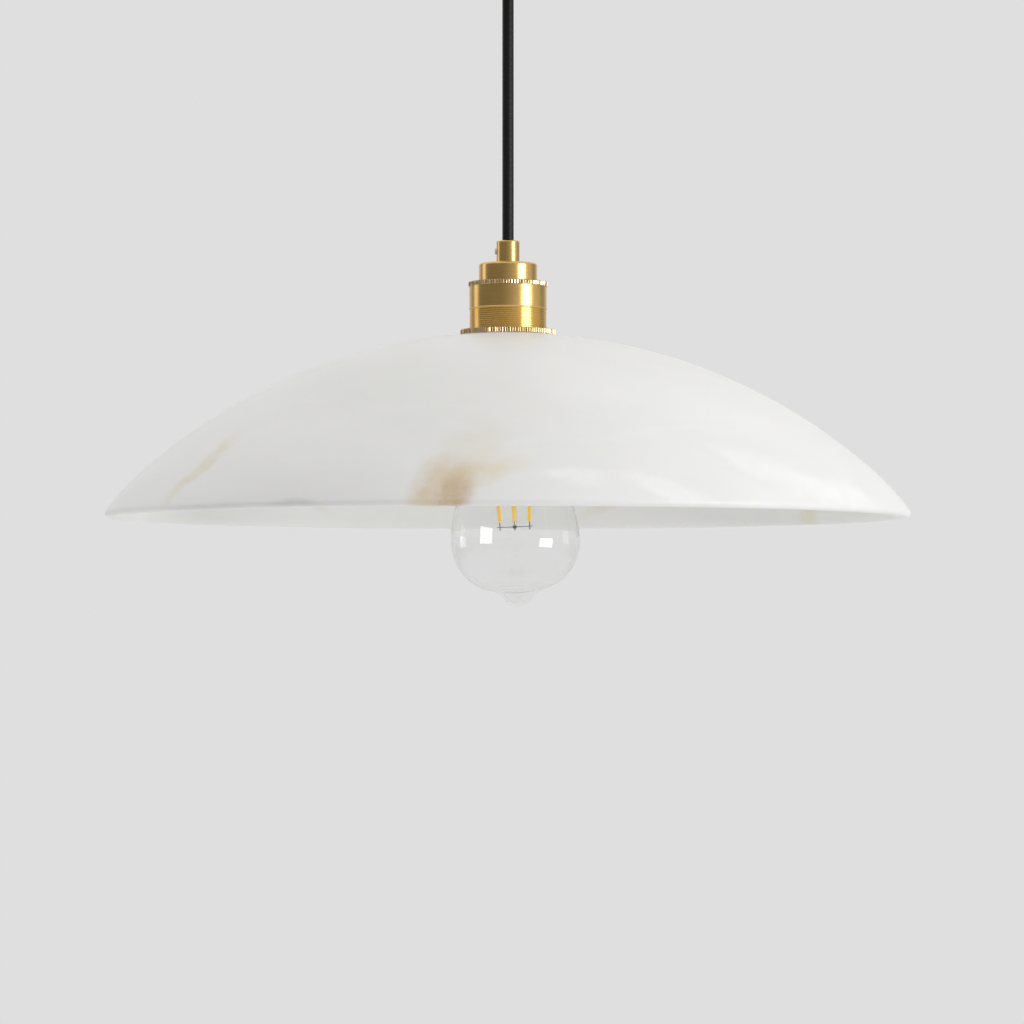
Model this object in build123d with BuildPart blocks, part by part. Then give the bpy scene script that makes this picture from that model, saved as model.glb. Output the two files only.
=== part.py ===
from build123d import *
import os
from math import asin, cos, degrees, radians, sin, sqrt, tan

# A pendant light that hangs on its cord from a ceiling rose: a shallow stone shade clamped
# between two knurled rings on a brass lampholder, with a clear filament bulb below it.
# Millimetres. The origin is where the light meets the ceiling, on the cord's axis. Z points
# up, so everything lies below zero. X runs across the photograph and Y away from the viewer.

os.makedirs("parts", exist_ok=True)

# Running and seating clearances
fit = 0.05
loose_fit = 0.15
seat_gap = 0.1

# Ceiling rose
rose_radius = 50.0
rose_height = 30.0
rose_wall = 1.2
rose_corner = 7.0
bracket_width = 16.0
bracket_sheet = 1.5
bracket_tab = 14.0
bracket_side_gap = 1.7
slot_spacing = 70.0
slot_width = 4.5
slot_length = 10.0
cable_hole = 5.0
side_screw_radius = 2.0
side_screw_drop = 8.0
side_screw_head_radius = 4.5
side_screw_head_height = 4.0
side_screw_teeth = 24

# Terminal block in the rose
block_length = 26.0
block_width = 16.0
block_height = 12.0
block_offset = -19.5
block_pitch = 8.0
block_corner = 1.5
tube_radius = 2.2
tube_bore = 1.5
tube_length = 15.0
tube_drop = 5.5
terminal_screw_radius = 1.3
terminal_screw_spacing = 9.0
terminal_screw_recess = 1.0
core_depth = 2.0
core_lead_in = 4.0
earth_core_rise = 6.0
block_screw_radius = 1.1
block_screw_head_radius = 2.0
rose_earth_offset = 19.0

# Cord: braided sleeve over three insulated cores
cord_radius = 2.8
cord_drop = 125.2
core_radius = 0.85
core_spread = 1.35
core_bend = 2.0
rose_sheath_show = 4.0
lamp_sheath_show = 1.5
root_gap = 0.15

# Cord grips
grip_radius = 5.75
rose_grip_length = 12.0
lamp_grip_length = 11.3
grip_edge = 0.7
stem_radius = 4.95
stem_length = 8.0
nut_across_flats = 13.0
nut_height = 3.0
grub_radius = 1.5
grub_proud = 0.8
grub_slot_width = 0.5
grub_slot_depth = 0.7
rose_grub_drop = 4.0
lamp_grub_drop = 5.2
pivot_inside_grip = 2.4
swing_limit = 20.0

# Lampholder
cap_radius = 14.55
cap_height = 9.4
cap_wall = 1.2
cap_edge = 1.2
sleeve_length = 6.0
sleeve_wall = 1.5
skirt_radius = 19.35
skirt_bore = 17.9
skirt_length = 51.7
collar_radius = 19.78
collar_height = 2.3
collar_teeth = 90
band_height = 11.2
ridge_height = 0.6
ridge_proud = 0.2
thread_pitch = 1.0
thread_radius = 19.2
thread_depth = 0.35
mouth_lip_radius = 16.6
mouth_lip_height = 1.2

# Porcelain insert and its contacts
insert_radius = 17.5
socket_radius = 14.35
terminal_pocket_depth = 6.5
socket_floor = 5.0
terminal_width = 7.0
terminal_depth = 8.4
terminal_height = 6.0
terminal_offset = 8.0
terminal_screw_proud = 1.0
wire_hole_offset = -2.2
screw_hole_offset = 1.9
core_drop = 1.6
earth_core_drop = 2.4
terminal_lead_in = 2.4
rivet_radius = 1.1
rivet_head_radius = 1.5
rivet_head_height = 0.4
live_rivet_offset = 5.8
neutral_rivet_offset = 10.8
shell_sheet = 0.35
shell_flange_bore = 8.6
shell_straight = 1.2
shell_end_gap = 1.0
contact_sheet = 0.4
contact_width = 4.0
contact_drop = 2.5
contact_foot_outer = 1.6
contact_foot_inner = 2.4
contact_tip_near = 0.8
contact_tip_far = 1.6
earth_offset = 10.2
earth_screw_radius = 1.4
earth_head_radius = 2.3
earth_head_height = 1.6

# Shade and the two rings that clamp it
shade_radius = 200.0
shade_height = 91.2
shade_wall = 8.0
shade_hole = 20.0
shade_seat_radius = 24.0
shoulder_inset = 18.6
shoulder_height = 23.2734
rim_face = 8.0
rim_outer_edge = 2.0
rim_inner_edge = 1.5
ring_radius = 23.75
ring_teeth = 96
upper_ring_height = 2.7
lower_ring_height = 4.0
washer_radius = 23.4
washer_bore = 19.6
upper_washer_height = 0.3
lower_washer_height = 1.0
upper_ring_drop = 33.3
tooth_groove = 0.42
tooth_groove_centre = 0.14

# Bulb: a long cone of clear glass that ends in a drawn tip, on a screw cap
screw_pitch = 3.629
cap_thread_radius = 13.1
cap_thread_depth = 0.5
cap_thread_turns = 4
cap_shell_sheet = 0.3
cap_shell_length = 21.5
cap_shoulder = 2.0
cap_neck_radius = 9.5
cap_glass_depth = 1.0
cap_button_radius = 4.6
cap_button_height = 1.4
cap_button_round = 0.84
cap_total_length = 27.0
glass_lean = 2.6
glass_wall = 0.9
glass_radius = 32.1
glass_neck_radius = 11.9
glass_neck_inside = 5.0
glass_widest = 83.0
glass_length = 115.0
glass_cone_angle = 15.4
glass_shoulder = 60.0
glass_base_round = 24.5
glass_neck_round = 30.0
nipple_round = 11.5
nipple_blend = 2.0
filament_radius = 0.95
filament_length = 38.0
filament_low_end = 72.7
filament_low_ring = 7.4
filament_high_ring = 9.0
filament_count = 4
wire_radius = 0.25
stem_rod_radius = 1.3
stem_bead_radius = 2.1
stem_bead_depth = 75.3
stem_press_radius = 2.6
stem_funnel_length = 16.0
stem_press_end = 24.0
wire_overrun = 1.6
lead_spread = 4.0
driver_radius = 8.0
driver_length = 9.0


def write_piece(piece, label):
    """Name one finished piece and write its file."""
    piece.part.label = label
    export_step(piece.part, f"parts/{label}.step")


def wire_along(points, radius, bend):
    """A round wire along straight runs joined by arcs."""
    with BuildPart() as wire:
        with BuildLine() as route:
            FilletPolyline(*points, radius=bend)
        with BuildSketch(Plane(origin=route.line @ 0, z_dir=route.line % 0)):
            Circle(radius)
        sweep()
    return wire


def grub_screw(tip, out, length):
    """A slotted grub screw whose tip bears on the cord, along the direction out."""
    head = tip + out * length
    with BuildPart() as screw:
        with BuildSketch(Plane(origin=tip, z_dir=out)):
            Circle(grub_radius)
        extrude(amount=length)
        with BuildSketch(Plane(origin=head, x_dir=(0, 0, 1), z_dir=out)):
            Rectangle(3 * grub_radius, grub_slot_width)
        extrude(amount=-grub_slot_depth, mode=Mode.SUBTRACT)
    return screw


def hexagon_nut(top):
    """A thin nut on a grip's stem."""
    with BuildPart() as nut:
        with BuildSketch(Plane.XY.offset(top)):
            RegularPolygon(nut_across_flats / 2, 6, major_radius=False)
            Circle(stem_radius + fit, mode=Mode.SUBTRACT)
        extrude(amount=-nut_height)
    return nut


def earth_screw(seat, x, y, shank):
    """A round-headed earth screw, head down, its shank up into the metal above seat."""
    with BuildPart() as screw:
        with BuildSketch(Plane.XY.offset(seat)):
            with Locations((x, y)):
                Circle(earth_head_radius)
        extrude(amount=-earth_head_height)
        with BuildSketch(Plane.XY.offset(seat)):
            with Locations((x, y)):
                Circle(earth_screw_radius)
        extrude(amount=shank)
    return screw


def ring_groove_pattern(radius, teeth):
    """Cut even flutes all round the edge of the sketched disc."""
    with PolarLocations(radius + tooth_groove_centre, teeth):
        Circle(tooth_groove, mode=Mode.SUBTRACT)


# Heights down the cord's axis
rose_floor = -rose_height
rose_grip_bottom = rose_floor - rose_grip_length
pivot_height = rose_grip_bottom + pivot_inside_grip
root_top = pivot_height + cord_radius
lamp_grip_top = rose_grip_bottom - cord_drop
cap_top = lamp_grip_top - lamp_grip_length
collar_top = cap_top - cap_height
collar_bottom = collar_top - collar_height
ridge_middle = collar_bottom - band_height
thread_top = ridge_middle - ridge_height / 2
mouth_height = collar_top - skirt_length
upper_ring_bottom = cap_top - upper_ring_drop - upper_ring_height
shade_seat = upper_ring_bottom - upper_washer_height
shade_underside = shade_seat - shade_wall
lower_ring_top = shade_underside - lower_washer_height
rim_height = shade_seat - shade_height

# Ceiling bracket: a strip screwed to the ceiling, with a tab down at each end for the cup
rose_inner = rose_radius - rose_wall
tab_face = rose_inner - bracket_side_gap
with BuildPart() as ceiling_bracket:
    with BuildSketch(Plane.XY):
        Rectangle(2 * tab_face, bracket_width)
        Circle(cable_hole, mode=Mode.SUBTRACT)
        with GridLocations(slot_spacing, 0, 2, 1):
            SlotOverall(slot_length, slot_width, mode=Mode.SUBTRACT)
        with Locations((block_offset, block_pitch / 2)):
            Circle(block_screw_radius + fit, mode=Mode.SUBTRACT)
        with Locations((rose_earth_offset, 0)):
            Circle(earth_screw_radius + fit, mode=Mode.SUBTRACT)
    extrude(amount=-bracket_sheet)
    with BuildSketch(Plane.XY.offset(-bracket_sheet)):
        with GridLocations(2 * tab_face - bracket_sheet, 0, 2, 1):
            Rectangle(bracket_sheet, bracket_width)
    extrude(amount=-(bracket_tab - bracket_sheet))
    with BuildSketch(Plane.YZ):
        with Locations((0, -side_screw_drop)):
            Circle(side_screw_radius + fit)
    extrude(amount=rose_radius, both=True, mode=Mode.SUBTRACT)
write_piece(ceiling_bracket, "ceiling_bracket")

# Rose cup: a spun brass cup over the bracket, open to the ceiling
with BuildPart() as rose_cup:
    with BuildSketch(Plane.XY.offset(rose_floor)):
        Circle(rose_radius)
    extrude(amount=rose_height - seat_gap)
    fillet(rose_cup.edges().group_by(Axis.Z)[0], radius=rose_corner)
    offset(amount=-rose_wall, openings=rose_cup.faces().sort_by(Axis.Z)[-1])
    with BuildSketch(Plane.XY.offset(rose_floor)):
        Circle(stem_radius + fit)
    extrude(amount=rose_corner, mode=Mode.SUBTRACT)
    with BuildSketch(Plane.YZ):
        with Locations((0, -side_screw_drop)):
            Circle(side_screw_radius + fit)
    extrude(amount=rose_radius, both=True, mode=Mode.SUBTRACT)
write_piece(rose_cup, "rose_cup")

# Two knurled screws hold the cup to the bracket's tabs
with BuildPart() as rose_side_screws:
    for side in (-1, 1):
        inner_end = Vector(side * (tab_face - bracket_sheet - fit), 0, -side_screw_drop)
        head_seat = Vector(side * (rose_radius + seat_gap), 0, -side_screw_drop)
        with BuildSketch(Plane(origin=inner_end, z_dir=(side, 0, 0))):
            Circle(side_screw_radius)
        extrude(amount=(head_seat - inner_end).length)
        with BuildSketch(Plane(origin=head_seat, z_dir=(side, 0, 0))):
            Circle(side_screw_head_radius)
            ring_groove_pattern(side_screw_head_radius, side_screw_teeth)
        extrude(amount=side_screw_head_height)
write_piece(rose_side_screws, "rose_side_screws")

# Rose grip: holds the cord at the ceiling, with a flared mouth that lets it swing
full_tilt = 2 * asin(sqrt(sin(radians(swing_limit / 2)) ** 2 * 2))
mouth_reach = pivot_inside_grip * tan(full_tilt) + cord_radius / cos(full_tilt)
throat_radius = cord_radius / cos(full_tilt) + loose_fit
with BuildPart() as rose_cord_grip:
    with BuildSketch(Plane.XY.offset(rose_grip_bottom)):
        Circle(grip_radius)
    extrude(amount=rose_grip_length)
    fillet(rose_cord_grip.edges().group_by(Axis.Z)[0], radius=grip_edge)
    with BuildSketch(Plane.XY.offset(rose_floor)):
        Circle(stem_radius)
    extrude(amount=stem_length)
    with BuildSketch(Plane.XY.offset(rose_grip_bottom)):
        Circle(cord_radius + fit)
    extrude(amount=rose_grip_length + stem_length, mode=Mode.SUBTRACT)
    with BuildSketch(Plane.XZ):
        with BuildLine():
            Polyline(
                (0, rose_grip_bottom),
                (mouth_reach + loose_fit, rose_grip_bottom),
                (throat_radius, pivot_height),
                (throat_radius, root_top),
                (0, root_top),
                close=True,
            )
        make_face()
    revolve(axis=Axis.Z, mode=Mode.SUBTRACT)
    with BuildSketch(Plane.YZ):
        with Locations((0, rose_floor - rose_grub_drop)):
            Circle(grub_radius + fit)
    extrude(amount=-grip_radius, mode=Mode.SUBTRACT)
write_piece(rose_cord_grip, "rose_cord_grip")

grub_length = grip_radius - cord_radius - fit + grub_proud
rose_grub_tip = Vector(-(cord_radius + fit), 0, rose_floor - rose_grub_drop)
rose_grip_screw = grub_screw(rose_grub_tip, Vector(-1, 0, 0), grub_length)
write_piece(rose_grip_screw, "rose_grip_screw")

rose_grip_nut = hexagon_nut(rose_floor + rose_wall + nut_height + fit)
write_piece(rose_grip_nut, "rose_grip_nut")

# Terminal block under the bracket: a moulded bar with three brass tubes
block_top = -bracket_sheet
tube_height = block_top - tube_drop
block_rows = GridLocations(0, block_pitch, 1, 3).locations
with BuildPart() as terminal_block:
    with BuildSketch(Plane.XY.offset(block_top)):
        with Locations((block_offset, 0)):
            RectangleRounded(block_width, block_length, block_corner)
    extrude(amount=-block_height)
    with BuildSketch(Plane.YZ.offset(block_offset)):
        with Locations(*[(row.position.Y, tube_height) for row in block_rows]):
            Circle(tube_radius + fit)
    extrude(amount=block_width, both=True, mode=Mode.SUBTRACT)
    with BuildSketch(Plane.XY.offset(block_top - block_height)):
        with Locations((block_offset, 0)):
            with GridLocations(terminal_screw_spacing, block_pitch, 2, 3):
                Circle(terminal_screw_radius + 2 * fit)
    extrude(amount=block_height - tube_drop, mode=Mode.SUBTRACT)
    with Locations((block_offset, block_pitch / 2, block_top - block_height)):
        with Locations(Rotation(180, 0, 0)):
            CounterSinkHole(
                block_screw_radius + fit, block_screw_head_radius + fit, counter_sink_angle=90
            )
write_piece(terminal_block, "terminal_block")

with BuildPart() as terminal_tubes:
    with BuildSketch(Plane.YZ.offset(block_offset - tube_length / 2)):
        with Locations(*[(row.position.Y, tube_height) for row in block_rows]):
            Circle(tube_radius)
            Circle(tube_bore, mode=Mode.SUBTRACT)
    extrude(amount=tube_length)
    with BuildSketch(Plane.XY.offset(tube_height)):
        with Locations((block_offset, 0)):
            with GridLocations(terminal_screw_spacing, block_pitch, 2, 3):
                Circle(terminal_screw_radius + fit)
    extrude(amount=-tube_radius, mode=Mode.SUBTRACT)
write_piece(terminal_tubes, "terminal_tubes")

with BuildPart() as terminal_screws:
    with BuildSketch(Plane.XY.offset(tube_height - core_radius - fit)):
        with Locations((block_offset, 0)):
            with GridLocations(terminal_screw_spacing, block_pitch, 2, 3):
                Circle(terminal_screw_radius)
    extrude(amount=-(block_height - tube_drop - core_radius - fit - terminal_screw_recess))
    with BuildSketch(Plane.XY.offset(block_top - block_height + terminal_screw_recess)):
        with Locations((block_offset, 0)):
            with GridLocations(terminal_screw_spacing, block_pitch, 2, 3):
                Rectangle(3 * terminal_screw_radius, grub_slot_width)
    extrude(amount=grub_slot_depth, mode=Mode.SUBTRACT)
write_piece(terminal_screws, "terminal_screws")

with BuildPart() as terminal_block_screw:
    with BuildSketch(Plane.XZ.offset(-block_pitch / 2)):
        with BuildLine():
            Polyline(
                (block_offset, 0),
                (block_offset + block_screw_radius, 0),
                (
                    block_offset + block_screw_radius,
                    block_top - block_height + block_screw_head_radius - block_screw_radius,
                ),
                (block_offset + block_screw_head_radius, block_top - block_height),
                (block_offset, block_top - block_height),
                close=True,
            )
        make_face()
    revolve(axis=Axis((block_offset, block_pitch / 2, 0), (0, 0, 1)))
write_piece(terminal_block_screw, "terminal_block_screw")

rose_earth_screw = earth_screw(-bracket_sheet, rose_earth_offset, 0, bracket_sheet)
write_piece(rose_earth_screw, "rose_earth_screw")

# Cord inside the rose: the clamped length, then its three cores
rose_sheath_end = rose_floor + stem_length + rose_sheath_show
with BuildPart() as rose_cord_tail:
    with BuildSketch(Plane.XY.offset(root_top + seat_gap)):
        Circle(cord_radius)
    extrude(amount=rose_sheath_end - root_top - seat_gap)
write_piece(rose_cord_tail, "rose_cord_tail")

core_start = [
    Vector(core_spread * cos(radians(turn)), core_spread * sin(radians(turn)), 0)
    for turn in (150, 270, 30)
]
tube_mouth = block_offset + tube_length / 2
for label, start, row in (
    ("rose_core_live", core_start[0], block_pitch),
    ("rose_core_neutral", core_start[1], 0),
):
    core = wire_along(
        [
            (start.X, start.Y, rose_sheath_end),
            (start.X, start.Y, tube_height),
            (tube_mouth + core_lead_in, row, tube_height),
            (tube_mouth - core_depth, row, tube_height),
        ],
        core_radius,
        core_bend,
    )
    write_piece(core, label)

rose_core_earth = wire_along(
    [
        (core_start[2].X, core_start[2].Y, rose_sheath_end),
        (core_start[2].X, core_start[2].Y, rose_sheath_end + earth_core_rise),
        (rose_earth_offset, 0, rose_sheath_end + earth_core_rise),
        (rose_earth_offset, 0, -bracket_sheet - earth_head_height),
    ],
    core_radius,
    core_bend,
)
write_piece(rose_core_earth, "rose_core_earth")

# Cord: the short bend in the grip's mouth, then the straight taut drop. The drop ends in a
# blunt cone whose point is the centre of the swing, so that it tips under the bend and clears it.
drop_shoulder = pivot_height - cord_radius * tan(radians(swing_limit))
root_base = sqrt(cord_radius**2 - root_gap**2)
with BuildPart() as cord_root:
    with BuildSketch(Plane.XZ):
        with BuildLine():
            Line((0, pivot_height + root_gap), (root_base, pivot_height + root_gap))
            RadiusArc((root_base, pivot_height + root_gap), (0, root_top), -cord_radius)
            Line((0, root_top), (0, pivot_height + root_gap))
        make_face()
    revolve(axis=Axis.Z)
write_piece(cord_root, "cord_root")

with BuildPart() as cord:
    with BuildSketch(Plane.XZ):
        with BuildLine():
            Polyline(
                (0, lamp_grip_top),
                (cord_radius, lamp_grip_top),
                (cord_radius, drop_shoulder),
                (0, pivot_height),
                close=True,
            )
        make_face()
    revolve(axis=Axis.Z)
write_piece(cord, "cord")

# Lampholder grip: a plain brass sleeve whose stem passes through the cap
with BuildPart() as lamp_cord_grip:
    with BuildSketch(Plane.XY.offset(cap_top)):
        Circle(grip_radius)
    extrude(amount=lamp_grip_length)
    fillet(lamp_cord_grip.edges().group_by(Axis.Z)[-1], radius=grip_edge)
    with BuildSketch(Plane.XY.offset(cap_top)):
        Circle(stem_radius)
    extrude(amount=-stem_length)
    with BuildSketch(Plane.XY.offset(cap_top - stem_length)):
        Circle(cord_radius + fit)
    extrude(amount=lamp_grip_length + stem_length, mode=Mode.SUBTRACT)
    with BuildSketch(Plane.YZ):
        with Locations((0, lamp_grip_top - lamp_grub_drop)):
            Circle(grub_radius + fit)
    extrude(amount=-grip_radius, mode=Mode.SUBTRACT)
write_piece(lamp_cord_grip, "lamp_cord_grip")

lamp_grub_tip = Vector(-(cord_radius + fit), 0, lamp_grip_top - lamp_grub_drop)
lamp_grip_screw = grub_screw(lamp_grub_tip, Vector(-1, 0, 0), grub_length)
write_piece(lamp_grip_screw, "lamp_grip_screw")

lamp_grip_nut = hexagon_nut(cap_top - cap_wall - fit)
write_piece(lamp_grip_nut, "lamp_grip_nut")

lamp_sheath_end = cap_top - stem_length - lamp_sheath_show
with BuildPart() as lamp_cord_tail:
    with BuildSketch(Plane.XY.offset(lamp_sheath_end)):
        Circle(cord_radius)
    extrude(amount=lamp_grip_top - lamp_sheath_end)
write_piece(lamp_cord_tail, "lamp_cord_tail")

# Lampholder cap: a turned brass cup with a threaded sleeve inside the skirt's collar
sleeve_radius = skirt_bore - fit
sleeve_bottom = collar_top - sleeve_length
with BuildPart() as lampholder_cap:
    with BuildSketch(Plane.XZ):
        with BuildLine():
            Polyline(
                (0, cap_top),
                (cap_radius, cap_top),
                (cap_radius, collar_top),
                (sleeve_radius, collar_top),
                (sleeve_radius, sleeve_bottom),
                (sleeve_radius - sleeve_wall, sleeve_bottom),
                (sleeve_radius - sleeve_wall, collar_top - cap_wall),
                (cap_radius - cap_wall, collar_top - cap_wall),
                (cap_radius - cap_wall, cap_top - cap_wall),
                (0, cap_top - cap_wall),
                close=True,
            )
        make_face()
    revolve(axis=Axis.Z)
    fillet(lampholder_cap.edges().group_by(Axis.Z)[-1], radius=cap_edge)
    with BuildSketch(Plane.XY.offset(cap_top)):
        Circle(stem_radius + fit)
        with Locations((0, earth_offset)):
            Circle(earth_screw_radius + fit)
    extrude(amount=-2 * cap_wall, mode=Mode.SUBTRACT)
write_piece(lampholder_cap, "lampholder_cap")

lamp_earth_screw = earth_screw(cap_top - cap_wall, 0, earth_offset, cap_wall)
write_piece(lamp_earth_screw, "lamp_earth_screw")

# Lampholder skirt: knurled collar, smooth band, ridge, and a fine thread down to the mouth
thread_turns = int((thread_top - mouth_height) / thread_pitch)
thread_outline = []
for turn in range(thread_turns):
    crest = thread_top - (turn + 0.5) * thread_pitch
    thread_outline.append((thread_radius - thread_depth, crest + thread_pitch / 2))
    thread_outline.append((thread_radius, crest))
with BuildPart() as lampholder_skirt:
    with BuildSketch(Plane.XZ):
        with BuildLine():
            Polyline(
                (skirt_bore, collar_bottom),
                (skirt_radius, collar_bottom),
                (skirt_radius, ridge_middle + ridge_height / 2),
                (skirt_radius + ridge_proud, ridge_middle),
                (skirt_radius, ridge_middle - ridge_height / 2),
                *thread_outline,
                (thread_radius - thread_depth, mouth_height),
                (mouth_lip_radius, mouth_height),
                (mouth_lip_radius, mouth_height + mouth_lip_height),
                (skirt_bore, mouth_height + mouth_lip_height),
                close=True,
            )
        make_face()
    revolve(axis=Axis.Z)
    with BuildSketch(Plane.XY.offset(collar_bottom)):
        Circle(collar_radius)
        ring_groove_pattern(collar_radius, collar_teeth)
        Circle(skirt_bore, mode=Mode.SUBTRACT)
    extrude(amount=collar_height)
write_piece(lampholder_skirt, "lampholder_skirt")

# Porcelain insert: pockets for the two terminals above, the bulb's socket below
insert_top = sleeve_bottom - seat_gap
insert_bottom = mouth_height + mouth_lip_height + seat_gap
pocket_floor = insert_top - terminal_pocket_depth
floor_underside = pocket_floor - socket_floor
with BuildPart() as porcelain_insert:
    with BuildSketch(Plane.XY.offset(insert_bottom)):
        Circle(insert_radius)
    extrude(amount=insert_top - insert_bottom)
    with BuildSketch(Plane.XY.offset(insert_bottom)):
        Circle(socket_radius)
    extrude(amount=floor_underside - insert_bottom, mode=Mode.SUBTRACT)
    with BuildSketch(Plane.XY.offset(insert_top)):
        with GridLocations(2 * terminal_offset, 0, 2, 1):
            Rectangle(terminal_width + 2 * loose_fit, terminal_depth + 2 * loose_fit)
    extrude(amount=-terminal_pocket_depth, mode=Mode.SUBTRACT)
    with BuildSketch(Plane.XY.offset(pocket_floor)):
        with Locations((live_rivet_offset, 0), (-neutral_rivet_offset, 0)):
            Circle(rivet_radius + fit)
    extrude(amount=-socket_floor, mode=Mode.SUBTRACT)
write_piece(porcelain_insert, "porcelain_insert")

# Terminals: brass blocks, each with a wire hole and a screw hole from above
terminal_top = pocket_floor + terminal_height
for label, side in (("live_terminal", 1), ("neutral_terminal", -1)):
    with BuildPart() as terminal:
        with BuildSketch(Plane.XY.offset(pocket_floor)):
            with Locations((side * terminal_offset, 0)):
                Rectangle(terminal_width, terminal_depth)
        extrude(amount=terminal_height)
        with BuildSketch(Plane.XY.offset(terminal_top)):
            with Locations((side * terminal_offset, wire_hole_offset)):
                Circle(core_radius + 2 * fit)
            with Locations((side * terminal_offset, screw_hole_offset)):
                Circle(terminal_screw_radius + fit)
        extrude(amount=-terminal_height / 2, mode=Mode.SUBTRACT)
    write_piece(terminal, label)

with BuildPart() as lamp_terminal_screws:
    with BuildSketch(Plane.XY.offset(terminal_top - terminal_height / 2)):
        with GridLocations(2 * terminal_offset, 0, 2, 1):
            with Locations((0, screw_hole_offset)):
                Circle(terminal_screw_radius)
    extrude(amount=terminal_height / 2 + terminal_screw_proud)
    with BuildSketch(Plane.XY.offset(terminal_top + terminal_screw_proud)):
        with GridLocations(2 * terminal_offset, 0, 2, 1):
            with Locations((0, screw_hole_offset)):
                Rectangle(grub_slot_width, 3 * terminal_screw_radius)
    extrude(amount=-grub_slot_depth, mode=Mode.SUBTRACT)
write_piece(lamp_terminal_screws, "lamp_terminal_screws")

# Cores from the cord's end to the terminals, and the earth core to the cap's screw
for label, start, side in (
    ("lamp_core_live", core_start[2], 1),
    ("lamp_core_neutral", core_start[0], -1),
):
    core = wire_along(
        [
            (start.X, start.Y, lamp_sheath_end),
            (start.X, start.Y, lamp_sheath_end - core_drop),
            (side * terminal_offset, wire_hole_offset, terminal_top + terminal_lead_in),
            (side * terminal_offset, wire_hole_offset, terminal_top - core_depth),
        ],
        core_radius,
        core_bend,
    )
    write_piece(core, label)

earth_turn = lamp_sheath_end - earth_core_drop
lamp_core_earth = wire_along(
    [
        (core_start[1].X, core_start[1].Y, lamp_sheath_end),
        (core_start[1].X, core_start[1].Y, earth_turn),
        (0, earth_offset, earth_turn),
        (0, earth_offset, cap_top - cap_wall - earth_head_height),
    ],
    core_radius,
    core_bend,
)
write_piece(lamp_core_earth, "lamp_core_earth")

# Screw shell: rolled sheet in the porcelain, the bulb's neutral contact
shell_wave = cap_thread_depth / 2
shell_middle = cap_thread_radius + loose_fit + shell_sheet + shell_wave
shell_bottom = insert_bottom + shell_end_gap
wave_top = floor_underside - shell_straight
shell_turns = int((wave_top - shell_bottom) / screw_pitch)


def rolled_outline(middle, wave, top, turns):
    """Rounded thread rings, one crest and one root a turn, going down."""
    for turn in range(turns):
        start = top - turn * screw_pitch
        half = start - screw_pitch / 2
        end = start - screw_pitch
        ThreePointArc((middle, start), (middle + wave, (start + half) / 2), (middle, half))
        ThreePointArc((middle, half), (middle - wave, (half + end) / 2), (middle, end))


with BuildPart() as screw_shell:
    with BuildSketch(Plane.XZ):
        with BuildLine():
            wave_end = wave_top - shell_turns * screw_pitch
            Polyline((shell_flange_bore, floor_underside), (shell_middle, floor_underside))
            Line((shell_middle, floor_underside), (shell_middle, wave_top))
            rolled_outline(shell_middle, shell_wave, wave_top, shell_turns)
            Line((shell_middle, wave_end), (shell_middle - shell_sheet, wave_end))
            rolled_outline(shell_middle - shell_sheet, shell_wave, wave_top, shell_turns)
            Polyline(
                (shell_middle - shell_sheet, wave_top),
                (shell_middle - shell_sheet, floor_underside - shell_sheet),
                (shell_flange_bore, floor_underside - shell_sheet),
                (shell_flange_bore, floor_underside),
            )
        make_face()
    revolve(axis=Axis.Z)
    with BuildSketch(Plane.XY.offset(floor_underside)):
        with Locations((-neutral_rivet_offset, 0)):
            Circle(rivet_radius + fit)
    extrude(amount=-shell_sheet, mode=Mode.SUBTRACT)
write_piece(screw_shell, "screw_shell")

# Centre contact: a sprung strip under the porcelain floor that presses on the bulb
contact_height = floor_underside - contact_drop
contact_foot_end = live_rivet_offset + contact_foot_outer
contact_foot_start = live_rivet_offset - contact_foot_inner
with BuildPart() as centre_contact:
    with BuildSketch(Plane.XZ):
        with BuildLine():
            Polyline(
                (contact_foot_end, floor_underside),
                (contact_foot_start, floor_underside),
                (contact_tip_near, contact_height + contact_sheet + fit),
                (-contact_tip_far, contact_height + contact_sheet + fit),
                (-contact_tip_far, contact_height + fit),
                (contact_tip_near, contact_height + fit),
                (contact_foot_start, floor_underside - contact_sheet),
                (contact_foot_end, floor_underside - contact_sheet),
                close=True,
            )
        make_face()
    extrude(amount=contact_width / 2, both=True)
    with BuildSketch(Plane.XY.offset(floor_underside)):
        with Locations((live_rivet_offset, 0)):
            Circle(rivet_radius + fit)
    extrude(amount=-contact_sheet, mode=Mode.SUBTRACT)
write_piece(centre_contact, "centre_contact")

# Rivets carry the current from each terminal through the floor to its contact
with BuildPart() as contact_rivets:
    for x, sheet in (
        (live_rivet_offset, contact_sheet),
        (-neutral_rivet_offset, shell_sheet),
    ):
        with BuildSketch(Plane.XY.offset(pocket_floor)):
            with Locations((x, 0)):
                Circle(rivet_radius)
        extrude(amount=-(socket_floor + sheet))
        with BuildSketch(Plane.XY.offset(floor_underside - sheet)):
            with Locations((x, 0)):
                Circle(rivet_head_radius)
        extrude(amount=-rivet_head_height)
write_piece(contact_rivets, "contact_rivets")


def shade_ring(bottom, height):
    """A knurled ring that turns on the skirt's thread."""
    with BuildPart() as ring:
        with BuildSketch(Plane.XY.offset(bottom)):
            Circle(ring_radius)
            ring_groove_pattern(ring_radius, ring_teeth)
            Circle(thread_radius + fit, mode=Mode.SUBTRACT)
        extrude(amount=height)
    return ring


def washer(bottom, height):
    """A soft washer between a ring and the stone."""
    with BuildPart() as disc:
        with BuildSketch(Plane.XY.offset(bottom)):
            Circle(washer_radius)
            Circle(washer_bore, mode=Mode.SUBTRACT)
        extrude(amount=height)
    return disc


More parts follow.
